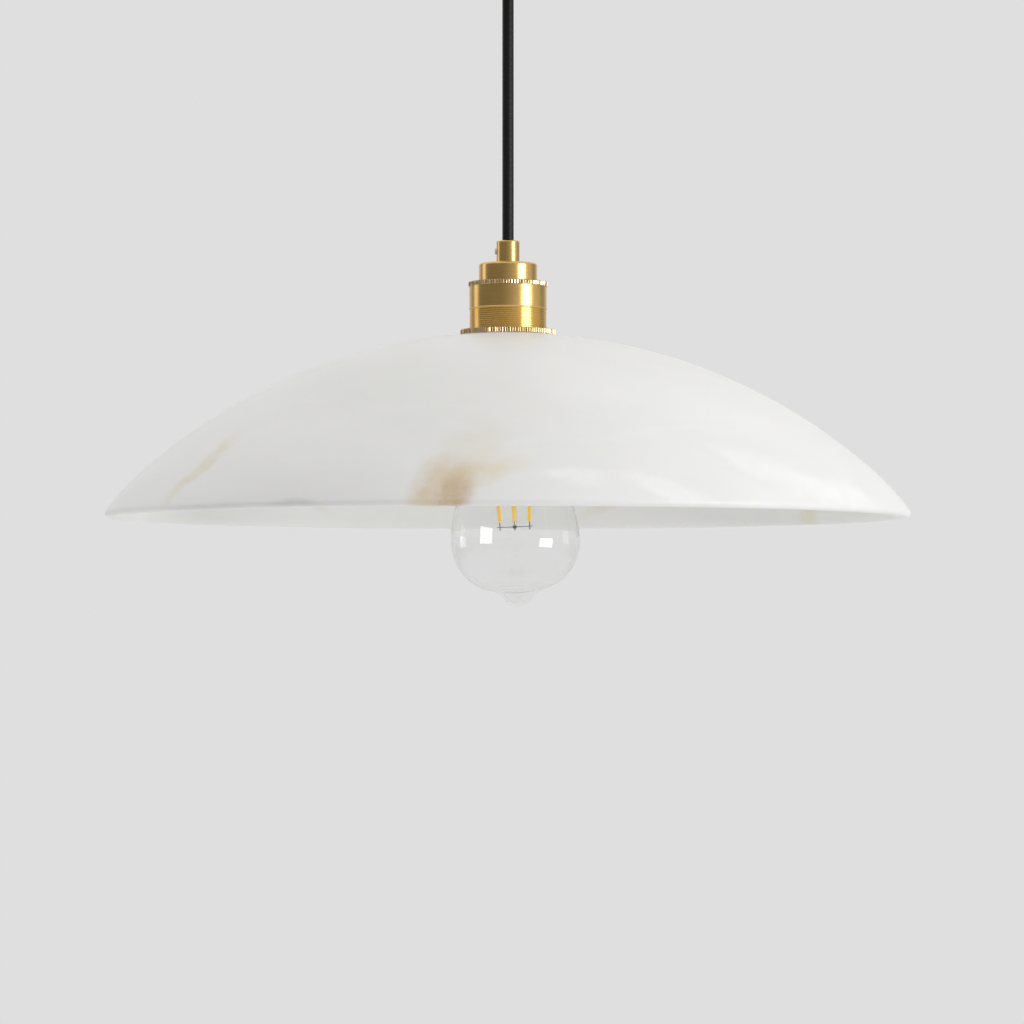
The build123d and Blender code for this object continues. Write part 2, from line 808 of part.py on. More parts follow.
upper_shade_ring = shade_ring(upper_ring_bottom, upper_ring_height)
write_piece(upper_shade_ring, "upper_shade_ring")
upper_washer = washer(shade_seat, upper_washer_height)
write_piece(upper_washer, "upper_washer")
lower_washer = washer(lower_ring_top, lower_washer_height)
write_piece(lower_washer, "lower_washer")
lower_shade_ring = shade_ring(lower_ring_top - lower_ring_height, lower_ring_height)
write_piece(lower_shade_ring, "lower_shade_ring")

# Shade: a flat seat round the hole, the crown's arc, a tighter arc, then the rounded rim.
# The crown's arc is centred on the axis and runs from the seat's edge to the shoulder.
def rim_tangent(crown_end, outward):
    """Where an arc that leaves the crown smoothly runs into the rim's outer rounding."""
    reach = crown_end - rim_centre
    arc_radius = (reach.dot(reach) - rim_outer_edge**2) / 2 / (reach.dot(outward) - rim_outer_edge)
    arc_centre = crown_end - outward * arc_radius
    return rim_centre + (rim_centre - arc_centre).normalized() * rim_outer_edge


shoulder_radius = shade_radius - shoulder_inset
crown_drop = shade_height - shoulder_height
crown_rise = (shoulder_radius**2 - shade_seat_radius**2 - crown_drop**2) / (2 * crown_drop)
crown_centre = shade_seat - crown_drop - crown_rise
crown_radius = sqrt(shoulder_radius**2 + crown_rise**2)
crown_start = degrees(asin(shade_seat_radius / crown_radius))
crown_end = degrees(asin(shoulder_radius / crown_radius))
crown_outward = Vector(sin(radians(crown_end)), cos(radians(crown_end)))
inner_crown = crown_radius - shade_wall
inner_seat_radius = sqrt(inner_crown**2 - (shade_underside - crown_centre) ** 2)
inner_start = degrees(asin(inner_seat_radius / inner_crown))
rim_centre = Vector(shade_radius - rim_outer_edge, rim_height + rim_outer_edge)
with BuildPart() as shade:
    with BuildSketch(Plane.XZ):
        with BuildLine():
            Line((shade_hole, shade_seat), (shade_seat_radius, shade_seat))
            crown = CenterArc(
                (0, crown_centre), crown_radius, 90 - crown_start, crown_start - crown_end
            )
            rim_start = rim_tangent(crown @ 1, crown_outward)
            shoulder = TangentArc(crown @ 1, rim_start, tangent=crown % 1)
            rim = TangentArc(shoulder @ 1, (rim_centre.X, rim_height), tangent=shoulder % 1)
            Line(rim @ 1, (shade_radius - rim_face, rim_height))
            hollow = CenterArc(
                (0, crown_centre), inner_crown, 90 - inner_start, inner_start - crown_end
            )
            TangentArc(hollow @ 1, (shade_radius - rim_face, rim_height), tangent=hollow % 1)
            Polyline(
                (inner_seat_radius, shade_underside),
                (shade_hole, shade_underside),
                (shade_hole, shade_seat),
            )
        make_face()
    revolve(axis=Axis.Z)
    fillet(shade.edges().group_by(Axis.Z)[0].sort_by(SortBy.LENGTH)[0], radius=rim_inner_edge)
write_piece(shade, "shade")

# Bulb cap: a thin screw shell closed by black glass and a contact button
bulb_contact_face = contact_height
bulb_rim = bulb_contact_face - cap_total_length
cap_shell_top = bulb_rim + cap_shell_length
cap_root = cap_thread_radius - cap_thread_depth / 2
cap_wave_top = cap_shell_top - cap_shoulder
cap_wave_end = cap_wave_top - cap_thread_turns * screw_pitch
inner_root = cap_root - cap_shell_sheet
inner_neck = cap_neck_radius - cap_shell_sheet
with BuildPart() as bulb_cap:
    with BuildSketch(Plane.XZ):
        with BuildLine():
            Polyline((inner_neck, cap_shell_top), (cap_neck_radius, cap_shell_top))
            Line((cap_neck_radius, cap_shell_top), (cap_root, cap_wave_top))
            rolled_outline(cap_root, cap_thread_depth / 2, cap_wave_top, cap_thread_turns)
            Polyline(
                (cap_root, cap_wave_end),
                (cap_root, bulb_rim),
                (inner_root, bulb_rim),
                (inner_root, cap_wave_end),
            )
            rolled_outline(inner_root, cap_thread_depth / 2, cap_wave_top, cap_thread_turns)
            Line((inner_root, cap_wave_top), (inner_neck, cap_shell_top))
        make_face()
    revolve(axis=Axis.Z)
write_piece(bulb_cap, "bulb_cap")

button_seat = bulb_contact_face - cap_button_height
cap_glass_bottom = cap_shell_top - cap_glass_depth
with BuildPart() as bulb_cap_glass:
    with BuildSketch(Plane.XZ):
        with BuildLine():
            Polyline(
                (0, button_seat),
                (cap_button_radius, button_seat),
                (cap_neck_radius, cap_shell_top + fit),
                (inner_neck - fit, cap_shell_top + fit),
                (inner_neck - fit, cap_glass_bottom),
                (0, cap_glass_bottom),
                close=True,
            )
        make_face()
    revolve(axis=Axis.Z)
write_piece(bulb_cap_glass, "bulb_cap_glass")

with BuildPart() as bulb_contact:
    with BuildSketch(Plane.XY.offset(button_seat)):
        Circle(cap_button_radius)
    extrude(amount=cap_button_height)
    fillet(bulb_contact.edges().group_by(Axis.Z)[-1], radius=cap_button_round)
write_piece(bulb_contact, "bulb_contact")

driver_top = cap_glass_bottom - seat_gap
driver_bottom = driver_top - driver_length
with BuildPart() as bulb_driver:
    with BuildSketch(Plane.XY.offset(driver_top)):
        Circle(driver_radius)
    extrude(amount=-driver_length)
write_piece(bulb_driver, "bulb_driver")

# Glass: its axis leans a little from the cap's, as it was cemented. Depths along it are
# measured from the cap's rim, in a plane that leans with it.
lean = radians(glass_lean)
bulb_origin = Vector(0, 0, bulb_rim)
glass_down = Vector(sin(lean), 0, -cos(lean))
glass_side = Vector(cos(lean), 0, sin(lean))
glass_plane = Plane(origin=bulb_origin, x_dir=glass_side, z_dir=glass_down.cross(glass_side))
glass_axis = Axis(bulb_origin, glass_down)


def on_glass(depth, out, turn=0):
    """A point at a depth below the cap's rim, out from the glass's axis at an angle."""
    sideways = glass_side * out * cos(radians(turn))
    away = Vector(0, out * sin(radians(turn)), 0)
    return bulb_origin + glass_down * depth + sideways + away


def rod(start, end, radius):
    """A straight round rod, added to the piece being made."""
    with BuildSketch(Plane(origin=start, z_dir=end - start)) as end_face:
        Circle(radius)
    extrude(end_face.sketch, amount=(end - start).length)


def glass_section(inset):
    """Half of the glass's section, set in from the outside, from the neck to the drawn tip."""
    neck = glass_neck_radius - inset
    cone = radians(glass_cone_angle)
    shoulder = glass_shoulder - inset
    cone_end = glass_radius - glass_shoulder + shoulder * cos(cone)
    cone_depth = glass_widest - shoulder * sin(cone)
    corner_depth = cone_depth - (cone_end - neck) / tan(cone)
    base = glass_base_round - inset
    base_centre = glass_radius - glass_base_round
    base_depth = glass_widest + base
    tip = nipple_round - inset
    tip_centre = nipple_round - glass_length
    tip_edge = sqrt(tip**2 - (base_depth + tip_centre) ** 2)
    with BuildSketch() as section:
        with BuildLine():
            Polyline(
                (0, glass_neck_inside),
                (neck, glass_neck_inside),
                (neck, -corner_depth),
                (cone_end, -cone_depth),
            )
            RadiusArc((cone_end, -cone_depth), (glass_radius - inset, -glass_widest), shoulder)
            CenterArc((base_centre, -glass_widest), base, 0, -90)
            Polyline((base_centre, -base_depth), (0, -base_depth), (0, glass_neck_inside))
        make_face()
        with BuildLine():
            CenterArc((0, tip_centre), tip, 0, -90)
            Polyline((0, tip_centre - tip), (0, tip_centre), (tip, tip_centre))
        make_face()
        neck_turn = section.vertices().sort_by_distance((neck, -corner_depth))[0]
        fillet(neck_turn, radius=glass_neck_round + inset)
        tip_turn = section.vertices().sort_by_distance((tip_edge, -base_depth))[0]
        fillet(tip_turn, radius=nipple_blend + inset)
    return section.sketch_local


with BuildPart() as bulb_glass:
    with BuildSketch(glass_plane):
        add(glass_section(0))
        add(glass_section(glass_wall), mode=Mode.SUBTRACT)
    revolve(axis=glass_axis)
write_piece(bulb_glass, "bulb_glass")

# Stem: a glass funnel sealed into the neck, pinched to a press, then a rod with a bead
stem_edge = glass_neck_radius - glass_wall - fit
with BuildPart() as bulb_stem:
    with BuildSketch(glass_plane):
        with BuildLine():
            Polyline(
                (stem_edge, glass_neck_inside),
                (stem_edge - glass_wall, glass_neck_inside),
                (stem_press_radius, -stem_funnel_length),
                (0, -stem_funnel_length),
                (0, -stem_press_end),
                (stem_press_radius, -stem_press_end),
                (stem_press_radius + glass_wall, -stem_funnel_length),
                close=True,
            )
        make_face()
    revolve(axis=glass_axis)
    rod(on_glass(stem_press_end, 0), on_glass(stem_bead_depth, 0), stem_rod_radius)
    with Locations(on_glass(stem_bead_depth, 0)):
        Sphere(stem_bead_radius)
write_piece(bulb_stem, "bulb_stem")

# Filaments: four straight sticks round the stem, closer together at their lower ends
filament_turns = [turn * 360 / filament_count for turn in range(filament_count)]
filament_high_end = filament_low_end - filament_length
with BuildPart() as bulb_filaments:
    for turn in filament_turns:
        low = on_glass(filament_low_end, filament_low_ring, turn)
        high = on_glass(filament_high_end, filament_high_ring, turn)
        rod(low, high, filament_radius)
write_piece(bulb_filaments, "bulb_filaments")

# Support wires: a cross from the bead to the lower ends, and struts from the press above
press_foot = stem_press_end + wire_radius + fit
with BuildPart() as bulb_wires:
    for turn in filament_turns:
        foot = on_glass(filament_low_end + loose_fit, filament_low_ring, turn)
        rod(foot, on_glass(stem_bead_depth + wire_overrun, filament_low_ring, turn), wire_radius)
        arm_start = on_glass(stem_bead_depth, stem_bead_radius + fit, turn)
        arm_end = on_glass(stem_bead_depth, filament_low_ring + wire_overrun, turn)
        rod(arm_start, arm_end, wire_radius)
        top = on_glass(filament_high_end - loose_fit, filament_high_ring, turn)
        rod(on_glass(press_foot, stem_press_radius - wire_radius, turn), top, wire_radius)
write_piece(bulb_wires, "bulb_wires")

# Lead wires stand in the funnel, between the press and the driver in the cap
with BuildPart() as bulb_leads:
    for turn in (0, 180):
        foot = on_glass(stem_funnel_length - fit, lead_spread / 2, turn)
        rod(foot, on_glass(bulb_rim - driver_bottom + loose_fit, lead_spread, turn), wire_radius)
write_piece(bulb_leads, "bulb_leads")
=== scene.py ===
from math import acos, asin, atan2, cos, degrees, pi, radians, sin, sqrt, tan

import bpy
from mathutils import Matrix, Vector


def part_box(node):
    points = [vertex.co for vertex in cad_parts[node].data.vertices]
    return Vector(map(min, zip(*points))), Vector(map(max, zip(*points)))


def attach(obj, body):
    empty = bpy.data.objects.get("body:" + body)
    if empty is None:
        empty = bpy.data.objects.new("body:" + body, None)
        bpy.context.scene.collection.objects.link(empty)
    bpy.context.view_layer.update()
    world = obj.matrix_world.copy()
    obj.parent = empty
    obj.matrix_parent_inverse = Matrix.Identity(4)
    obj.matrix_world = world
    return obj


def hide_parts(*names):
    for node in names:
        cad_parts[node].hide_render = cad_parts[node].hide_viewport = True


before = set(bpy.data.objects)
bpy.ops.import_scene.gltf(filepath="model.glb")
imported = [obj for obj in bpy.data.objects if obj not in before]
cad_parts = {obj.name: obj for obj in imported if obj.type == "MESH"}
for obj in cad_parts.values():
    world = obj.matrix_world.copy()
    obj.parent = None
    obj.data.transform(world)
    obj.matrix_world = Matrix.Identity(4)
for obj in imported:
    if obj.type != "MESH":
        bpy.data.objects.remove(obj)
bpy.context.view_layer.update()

# A pendant light hung from a ceiling rose: a white stone dome between two knurled rings on a
# brass lampholder, with a clear filament bulb and a black braided cord. Metres, origin where
# the rose meets the ceiling.

mm = 0.001


def bottom_of(name):
    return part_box(name)[0].z


def top_of(name):
    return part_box(name)[1].z


# Heights on the cord's axis, from the solids
rose_floor = bottom_of("rose_cup")
rose_grip_bottom = bottom_of("rose_cord_grip")
swing_centre = top_of("cord")
lamp_grip_top = bottom_of("cord")
cap_top = top_of("lampholder_cap")
collar_top = top_of("lampholder_skirt")
collar_height = 2.3 * mm
collar_bottom = collar_top - collar_height
ridge_middle = collar_bottom - 11.2 * mm
thread_top = ridge_middle - 0.3 * mm
mouth_height = bottom_of("lampholder_skirt")
hairline = 0.02 * mm  # between each ring and the washer it grips
upper_ring_bottom = bottom_of("upper_shade_ring") + hairline
upper_ring_height = top_of("upper_shade_ring") - upper_ring_bottom
lower_ring_bottom = bottom_of("lower_shade_ring")
lower_ring_height = top_of("lower_shade_ring") - hairline - lower_ring_bottom
shade_seat = top_of("shade")
stone_wall = 8 * mm
shade_underside = shade_seat - stone_wall
rim_height = bottom_of("shade")
bulb_rim = bottom_of("bulb_cap")
swing_limit = radians(20)

# Radii
cord_radius = 2.8 * mm
grip_radius = 5.75 * mm
cap_radius = 14.55 * mm
cap_rounding = 1.2 * mm
skirt_radius = 19.35 * mm
collar_radius = 19.78 * mm
thread_radius = 19.2 * mm
ring_radius = 23.75 * mm
rose_radius = 50 * mm
shade_radius = 200 * mm
ring_bore = 19.25 * mm
skirt_bore = 17.9 * mm
grip_bore = 2.85 * mm


# Camera: a long lens a little under the rim, tipped up a little
lens_length, film_width = 135.7, 36
camera_place = (2 * mm, -1925 * mm, -362.6 * mm)
upward_tilt = 1.78
camera_data = bpy.data.cameras.new("camera")
camera_data.lens = lens_length
camera_data.sensor_width = film_width
camera = bpy.data.objects.new("camera", camera_data)
bpy.context.scene.collection.objects.link(camera)
camera.location = camera_place
camera.rotation_euler = (radians(90 + upward_tilt), 0, 0)
bpy.context.scene.camera = camera


# Making pieces

def deselect():
    if bpy.context.object and bpy.context.object.mode != "OBJECT":
        bpy.ops.object.mode_set(mode="OBJECT")
    bpy.ops.object.select_all(action="DESELECT")


def pick(piece):
    """Make this the only piece that the next operators act on."""
    deselect()
    piece.select_set(True)
    bpy.context.view_layer.objects.active = piece


def settle(name):
    """Name the piece just added and put its place into its mesh."""
    piece = bpy.context.object
    piece.name = name
    piece.data.name = name
    bpy.ops.object.transform_apply(location=True, rotation=True, scale=True)
    return piece


def stand(piece, rotation, location):
    """Turn and move a finished piece, and put its new place into its mesh."""
    pick(piece)
    piece.rotation_euler = rotation
    piece.location = location
    bpy.ops.object.transform_apply(location=True, rotation=True, scale=True)


def select_where(piece, test):
    """Select the corners of the piece whose place passes the test."""
    bpy.ops.object.mode_set(mode="EDIT")
    bpy.ops.mesh.select_mode(type="VERT")
    bpy.ops.mesh.select_all(action="DESELECT")
    bpy.ops.object.mode_set(mode="OBJECT")
    for corner in piece.data.vertices:
        corner.select = test(corner.co)
    bpy.ops.object.mode_set(mode="EDIT")


def draw_ring(step, height, scale):
    """Pull the selected ring on by one step and set its new size."""
    bpy.ops.mesh.extrude_region_move(TRANSFORM_OT_translate={"value": (0, 0, step)})
    bpy.ops.transform.resize(value=(scale, scale, 1), center_override=(0, 0, height))


def draw_point(step):
    """Close the selected ring in a point on the axis, one step away."""
    bpy.ops.mesh.extrude_region_move(TRANSFORM_OT_translate={"value": (0, 0, step)})
    bpy.ops.mesh.merge(type="CENTER")


def turned(name, profile, sides):
    """A round piece drawn out ring by ring from one circle, along its closed profile. A profile
    that starts or ends on the axis is closed there in a point."""
    deselect()
    on_axis = 1e-7
    starts_on_axis = profile[0][0] < on_axis
    rings = profile[1:] if starts_on_axis else profile
    radius, height = rings[0]
    first_height = height
    bpy.ops.mesh.primitive_circle_add(vertices=sides, radius=radius, location=(0, 0, height))
    piece = settle(name)
    bpy.ops.object.mode_set(mode="EDIT")
    if starts_on_axis:
        draw_point(profile[0][1] - height)
        select_where(piece, lambda place: abs(place.z - first_height) < on_axis)
    for next_radius, next_height in rings[1:]:
        if next_radius < on_axis:
            draw_point(next_height - height)
            break
        draw_ring(next_height - height, next_height, next_radius / radius)
        radius, height = next_radius, next_height
    bpy.ops.mesh.select_all(action="SELECT")
    bpy.ops.mesh.remove_doubles(threshold=1e-6)
    bpy.ops.mesh.normals_make_consistent(inside=False)
    bpy.ops.object.mode_set(mode="OBJECT")
    return piece


def arc(centre, radius, start, end, steps):
    """Points of an arc in a profile, angles in degrees from straight out."""
    turns = [radians(start + (end - start) * i / steps) for i in range(steps + 1)]
    return [(centre[0] + radius * cos(t), centre[1] + radius * sin(t)) for t in turns]


def held(profile, gap=0.2 * mm):
    """A profile with a ring close to each end of every long straight stretch, so that the
    roundings beside it don't bend its shading."""
    points = [profile[0]]
    for start, end in zip(profile, profile[1:]):
        start, end = Vector(start), Vector(end)
        share = gap / max((end - start).length, gap)
        if share < 0.25:
            points += [tuple(start.lerp(end, share)), tuple(end.lerp(start, share))]
        points.append(tuple(end))
    return points


def apply_modifiers(piece):
    pick(piece)
    for name in [m.name for m in piece.modifiers]:
        bpy.ops.object.modifier_apply(modifier=name)


def soften(piece, width, segments):
    """Break the piece's sharp edges."""
    edge = piece.modifiers.new("edges", "BEVEL")
    edge.width = width
    edge.segments = segments
    edge.limit_method = "ANGLE"
    edge.angle_limit = radians(60)
    apply_modifiers(piece)


def cut_out(piece, tool):
    """Cut the tool's shape out of the piece and throw the tool away."""
    cut = piece.modifiers.new("cut", "BOOLEAN")
    cut.operation = "DIFFERENCE"
    cut.solver = "EXACT"
    cut.object = tool
    apply_modifiers(piece)
    bpy.data.objects.remove(tool)


def smooth(piece, angle=35):
    pick(piece)
    bpy.ops.object.shade_smooth_by_angle(angle=radians(angle))


def finish_piece(piece, material, body, solid):
    """Give the piece its material, and say what it rides on and which solid it stands for."""
    piece.data.materials.clear()
    piece.data.materials.append(material)
    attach(piece, body)
    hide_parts(solid)


points_per_tooth = 6


def flute(piece, teeth, radius, depth):
    """Press V-shaped flutes into a turned piece's outermost rings."""
    sides = teeth * points_per_tooth
    outermost = radius - 0.3 * mm
    for phase in range(points_per_tooth):
        part = abs(1 - 2 * phase / points_per_tooth)
        scale = 1 - depth * part / radius

        def on_phase(place):
            if sqrt(place.x**2 + place.y**2) < outermost:
                return False
            step = round(atan2(place.y, place.x) / (2 * pi) * sides) % sides
            return step % points_per_tooth == phase

        select_where(piece, on_phase)
        bpy.ops.transform.resize(value=(scale, scale, 1), center_override=(0, 0, 0))
        bpy.ops.object.mode_set(mode="OBJECT")


def rod(name, start, end, radius, sides, rounding=0.0):
    """A straight round rod between two points."""
    deselect()
    along = Vector(end) - Vector(start)
    bpy.ops.mesh.primitive_cylinder_add(
        vertices=sides,
        radius=radius,
        depth=along.length,
        location=(Vector(start) + Vector(end)) / 2,
        rotation=along.to_track_quat("Z", "Y").to_euler(),
    )
    piece = settle(name)
    if rounding:
        soften(piece, rounding, 3)
    smooth(piece)
    return piece


def join(name, pieces):
    """Several copies of one thing as one piece."""
    deselect()
    for piece in pieces:
        piece.select_set(True)
    bpy.context.view_layer.objects.active = pieces[0]
    bpy.ops.object.join()
    joined = bpy.context.object
    joined.name = name
    joined.data.name = name
    return joined


# Finishes

def new_material(name):
    material = bpy.data.materials.new(name)
    material.use_nodes = True
    return material, material.node_tree, material.node_tree.nodes["Principled BSDF"]


def node(tree, kind, **sockets):
    """A node with values on its sockets, an underscore in a name standing for a space."""
    made = tree.nodes.new(kind)
    for name, value in sockets.items():
        made.inputs[name.replace("_", " ")].default_value = value
    return made


def link(tree, source, target):
    tree.links.new(source, target)


def feed(tree, value, socket):
    """Link another node's output to the socket, or set a plain value on it."""
    if hasattr(value, "links"):
        link(tree, value, socket)
    else:
        socket.default_value = value


def place_on_piece(tree, rotation=(0, 0, 0), scale=(1, 1, 1)):
    """Object coordinates turned and scaled."""
    coordinates = node(tree, "ShaderNodeTexCoord")
    mapping = node(tree, "ShaderNodeMapping", Rotation=rotation, Scale=scale)
    link(tree, coordinates.outputs["Object"], mapping.inputs["Vector"])
    return mapping.outputs["Vector"]


def noise(tree, vector, scale, detail=3.0, roughness=0.5, distortion=0.0):
    made = node(
        tree,
        "ShaderNodeTexNoise",
        Scale=scale,
        Detail=detail,
        Roughness=roughness,
        Distortion=distortion,
    )
    link(tree, vector, made.inputs["Vector"])
    return made.outputs["Fac"]


def ramp(tree, value, *stops):
    """A colour ramp through (place, colour) stops."""
    made = node(tree, "ShaderNodeValToRGB")
    elements = made.color_ramp.elements
    while len(elements) < len(stops):
        elements.new(0.5)
    for element, (place, colour) in zip(elements, stops):
        element.position = place
        element.color = (*colour, 1) if hasattr(colour, "__len__") else (colour,) * 3 + (1,)
    link(tree, value, made.inputs["Fac"])
    return made.outputs["Color"]


def mix(tree, share, first, second):
    """The first colour, with a share of the second."""
    made = node(tree, "ShaderNodeMix")
    made.data_type = "RGBA"
    for name, value in (("Factor", share), ("A", first), ("B", second)):
        socket = next(i for i in made.inputs if i.name == name and i.enabled)
        feed(tree, (*value, 1) if isinstance(value, tuple) else value, socket)
    return next(o for o in made.outputs if o.enabled)


def maths(tree, operation, first, second):
    made = node(tree, "ShaderNodeMath")
    made.operation = operation
    link(tree, first, made.inputs[0])
    link(tree, second, made.inputs[1])
    return made.outputs["Value"]


def vector_maths(tree, operation, first, second=None):
    made = node(tree, "ShaderNodeVectorMath")
    made.operation = operation
    link(tree, first, made.inputs[0])
    if second is not None:
        feed(tree, second, made.inputs["Scale" if operation == "SCALE" else 1])
    return made.outputs["Value" if operation == "LENGTH" else "Vector"]


def share_between(tree, value, low, high):
    """From nothing at one value to all at another."""
    made = node(tree, "ShaderNodeMapRange", From_Min=low, From_Max=high)
    made.interpolation_type = "SMOOTHSTEP"
    link(tree, value, made.inputs["Value"])
    return made.outputs["Result"]


def bump(tree, shader, height, strength, distance):
    made = node(tree, "ShaderNodeBump", Strength=strength, Distance=distance)
    link(tree, height, made.inputs["Height"])
    link(tree, made.outputs["Normal"], shader.inputs["Normal"])


def metal(name, colour, dark, roughness, marks=0.25):
    """Satin metal with fine turning marks and slight tarnish."""
    material, tree, shader = new_material(name)
    shader.inputs["Metallic"].default_value = 1.0
    turning = noise(tree, place_on_piece(tree, scale=(40, 40, 4000)), 1.0, 2.0)
    cloud = noise(tree, place_on_piece(tree), 60.0, 4.0, 0.6)
    tarnish = ramp(tree, cloud, (0.35, dark), (0.62, colour))
    lines = ramp(tree, turning, (0.3, dark), (0.7, colour))
    link(tree, mix(tree, 0.18, tarnish, lines), shader.inputs["Base Color"])
    spread = 0.04
    rough = node(
        tree, "ShaderNodeMapRange", To_Min=roughness - spread, To_Max=roughness + spread
    )
    link(tree, turning, rough.inputs["Value"])
    link(tree, rough.outputs["Result"], shader.inputs["Roughness"])
    if marks:
        bump(tree, shader, turning, marks, 0.05 * mm)
    return material


def plain(name, colour, second, roughness, scale=120.0, **sockets):
    """A moulded, fired or painted finish with a faint mottle and a fine surface."""
    material, tree, shader = new_material(name)
    mottle = noise(tree, place_on_piece(tree), scale, 4.0, 0.6)
    link(tree, ramp(tree, mottle, (0.35, second), (0.65, colour)), shader.inputs["Base Color"])
    shader.inputs["Roughness"].default_value = roughness
    for key, value in sockets.items():
        shader.inputs[key.replace("_", " ")].default_value = value
    bump(tree, shader, noise(tree, place_on_piece(tree), scale * 12, 2.0), 0.15, 0.02 * mm)
    return material


satin_brass = metal("satin_brass", (0.80, 0.53, 0.195), (0.72, 0.455, 0.145), 0.235)
thread_brass = metal("thread_brass", (0.80, 0.50, 0.15), (0.72, 0.42, 0.105), 0.21, marks=0)
knurl_brass = metal("knurl_brass", (0.83, 0.61, 0.33), (0.73, 0.52, 0.26), 0.13, marks=0)
contact_brass = metal("contact_brass", (0.72, 0.50, 0.24), (0.55, 0.36, 0.16), 0.35)
zinc = metal("zinc_plate", (0.60, 0.61, 0.63), (0.45, 0.46, 0.49), 0.38)
nickel = metal("nickel_plate", (0.66, 0.64, 0.60), (0.52, 0.50, 0.47), 0.30)
wire_steel = metal("drawn_wire", (0.20, 0.19, 0.18), (0.10, 0.09, 0.09), 0.40)
white_plastic = plain("white_plastic", (0.80, 0.80, 0.77), (0.74, 0.74, 0.71), 0.45)
porcelain = plain("porcelain", (0.86, 0.85, 0.80), (0.80, 0.79, 0.74), 0.18)
black_glass = plain("black_glass", (0.02, 0.02, 0.02), (0.03, 0.03, 0.035), 0.12)
washer_rubber = plain("washer_rubber", (0.80, 0.80, 0.78), (0.74, 0.74, 0.72), 0.60)
brown_core = plain("brown_core", (0.20, 0.08, 0.03), (0.16, 0.06, 0.025), 0.45)
blue_core = plain("blue_core", (0.03, 0.12, 0.42), (0.025, 0.10, 0.36), 0.45)
# The filament sticks' yellow phosphor, with a faint painted glow although the bulb is off
phosphor_painted_glow = plain(
    "phosphor_painted_glow",
    (1.0, 0.68, 0.10),
    (0.98, 0.61, 0.07),
    0.55,
    900.0,
    Emission_Color=(1.0, 0.56, 0.06, 1),
    Emission_Strength=0.3,
)


def earth_sleeve():
    """Green insulation with a yellow stripe."""
    material, tree, shader = new_material("earth_core")
    green, yellow = (0.08, 0.35, 0.06), (0.75, 0.62, 0.05)
    stripes = node(tree, "ShaderNodeTexWave", Scale=220, Distortion=0.6)
    link(tree, place_on_piece(tree, rotation=(0.5, 0.4, 0)), stripes.inputs["Vector"])
    sleeve = ramp(tree, stripes.outputs["Fac"], (0.55, green), (0.6, yellow))
    link(tree, sleeve, shader.inputs["Base Color"])
    shader.inputs["Roughness"].default_value = 0.45
    return material


earth_core = earth_sleeve()


def clear_glass():
    material, _, shader = new_material("clear_glass")
    shader.inputs["Base Color"].default_value = (0.97, 0.975, 0.97, 1)
    shader.inputs["Roughness"].default_value = 0.0
    shader.inputs["Transmission Weight"].default_value = 1.0
    shader.inputs["IOR"].default_value = 1.47
    return material


bulb_clear = clear_glass()


def braid():
    """Black braided yarn, painted darker where the braid dips between strands: painted shade in
    its hollows.
    """
    material, tree, shader = new_material("black_braid")
    # Each point's lift out of the braid, read here to paint shade into the dips
    height = node(tree, "ShaderNodeAttribute")
    height.attribute_name = "strand"
    fuzz = noise(tree, place_on_piece(tree), 9000.0, 2.0)
    dip_shade_and_fuzz = mix(tree, 0.35, height.outputs["Fac"], fuzz)
    yarn = ramp(tree, dip_shade_and_fuzz, (0.1, (0.001, 0.001, 0.001)), (0.9, (0.007, 0.007, 0.007)))
    link(tree, yarn, shader.inputs["Base Color"])
    shader.inputs["Roughness"].default_value = 0.36
    shader.inputs["Specular IOR Level"].default_value = 0.27
    bump(tree, shader, fuzz, 0.4, 0.03 * mm)
    return material


black_braid = braid()


def stone_mark(tree, centre, turn, length, width, wander, wobble):
    """How much of a mark lies here: a soft patch in the stone, its outline drawn out by noise."""
    here = place_on_piece(tree)
    drift = node(tree, "ShaderNodeTexNoise", Scale=wobble, Detail=5)
    link(tree, here, drift.inputs["Vector"])
    centred = vector_maths(tree, "SUBTRACT", drift.outputs["Color"], (0.5, 0.5, 0.5))
    scaled = vector_maths(tree, "SCALE", centred, wander)
    moved = vector_maths(tree, "ADD", here, scaled)
    mapping = node(
        tree,
        "ShaderNodeMapping",
        Location=centre,
        Rotation=(0, radians(turn), 0),
        Scale=(length, mark_depth, width),
    )
    mapping.vector_type = "TEXTURE"
    link(tree, moved, mapping.inputs["Vector"])
    reach = vector_maths(tree, "LENGTH", mapping.outputs["Vector"])
    return share_between(tree, reach, 1.0, 0.25)


mark_depth = 60 * mm
brown_tone, amber_tone, ochre_tone = (0.55, 0.36, 0.18), (0.69, 0.51, 0.26), (0.78, 0.67, 0.43)
# The grey tone is painted shade for the rim's edge; the other tones are the stone's own marks
painted_rim_shade_tone, cloud_tone = (0.40, 0.40, 0.40), (0.97, 0.97, 0.965)

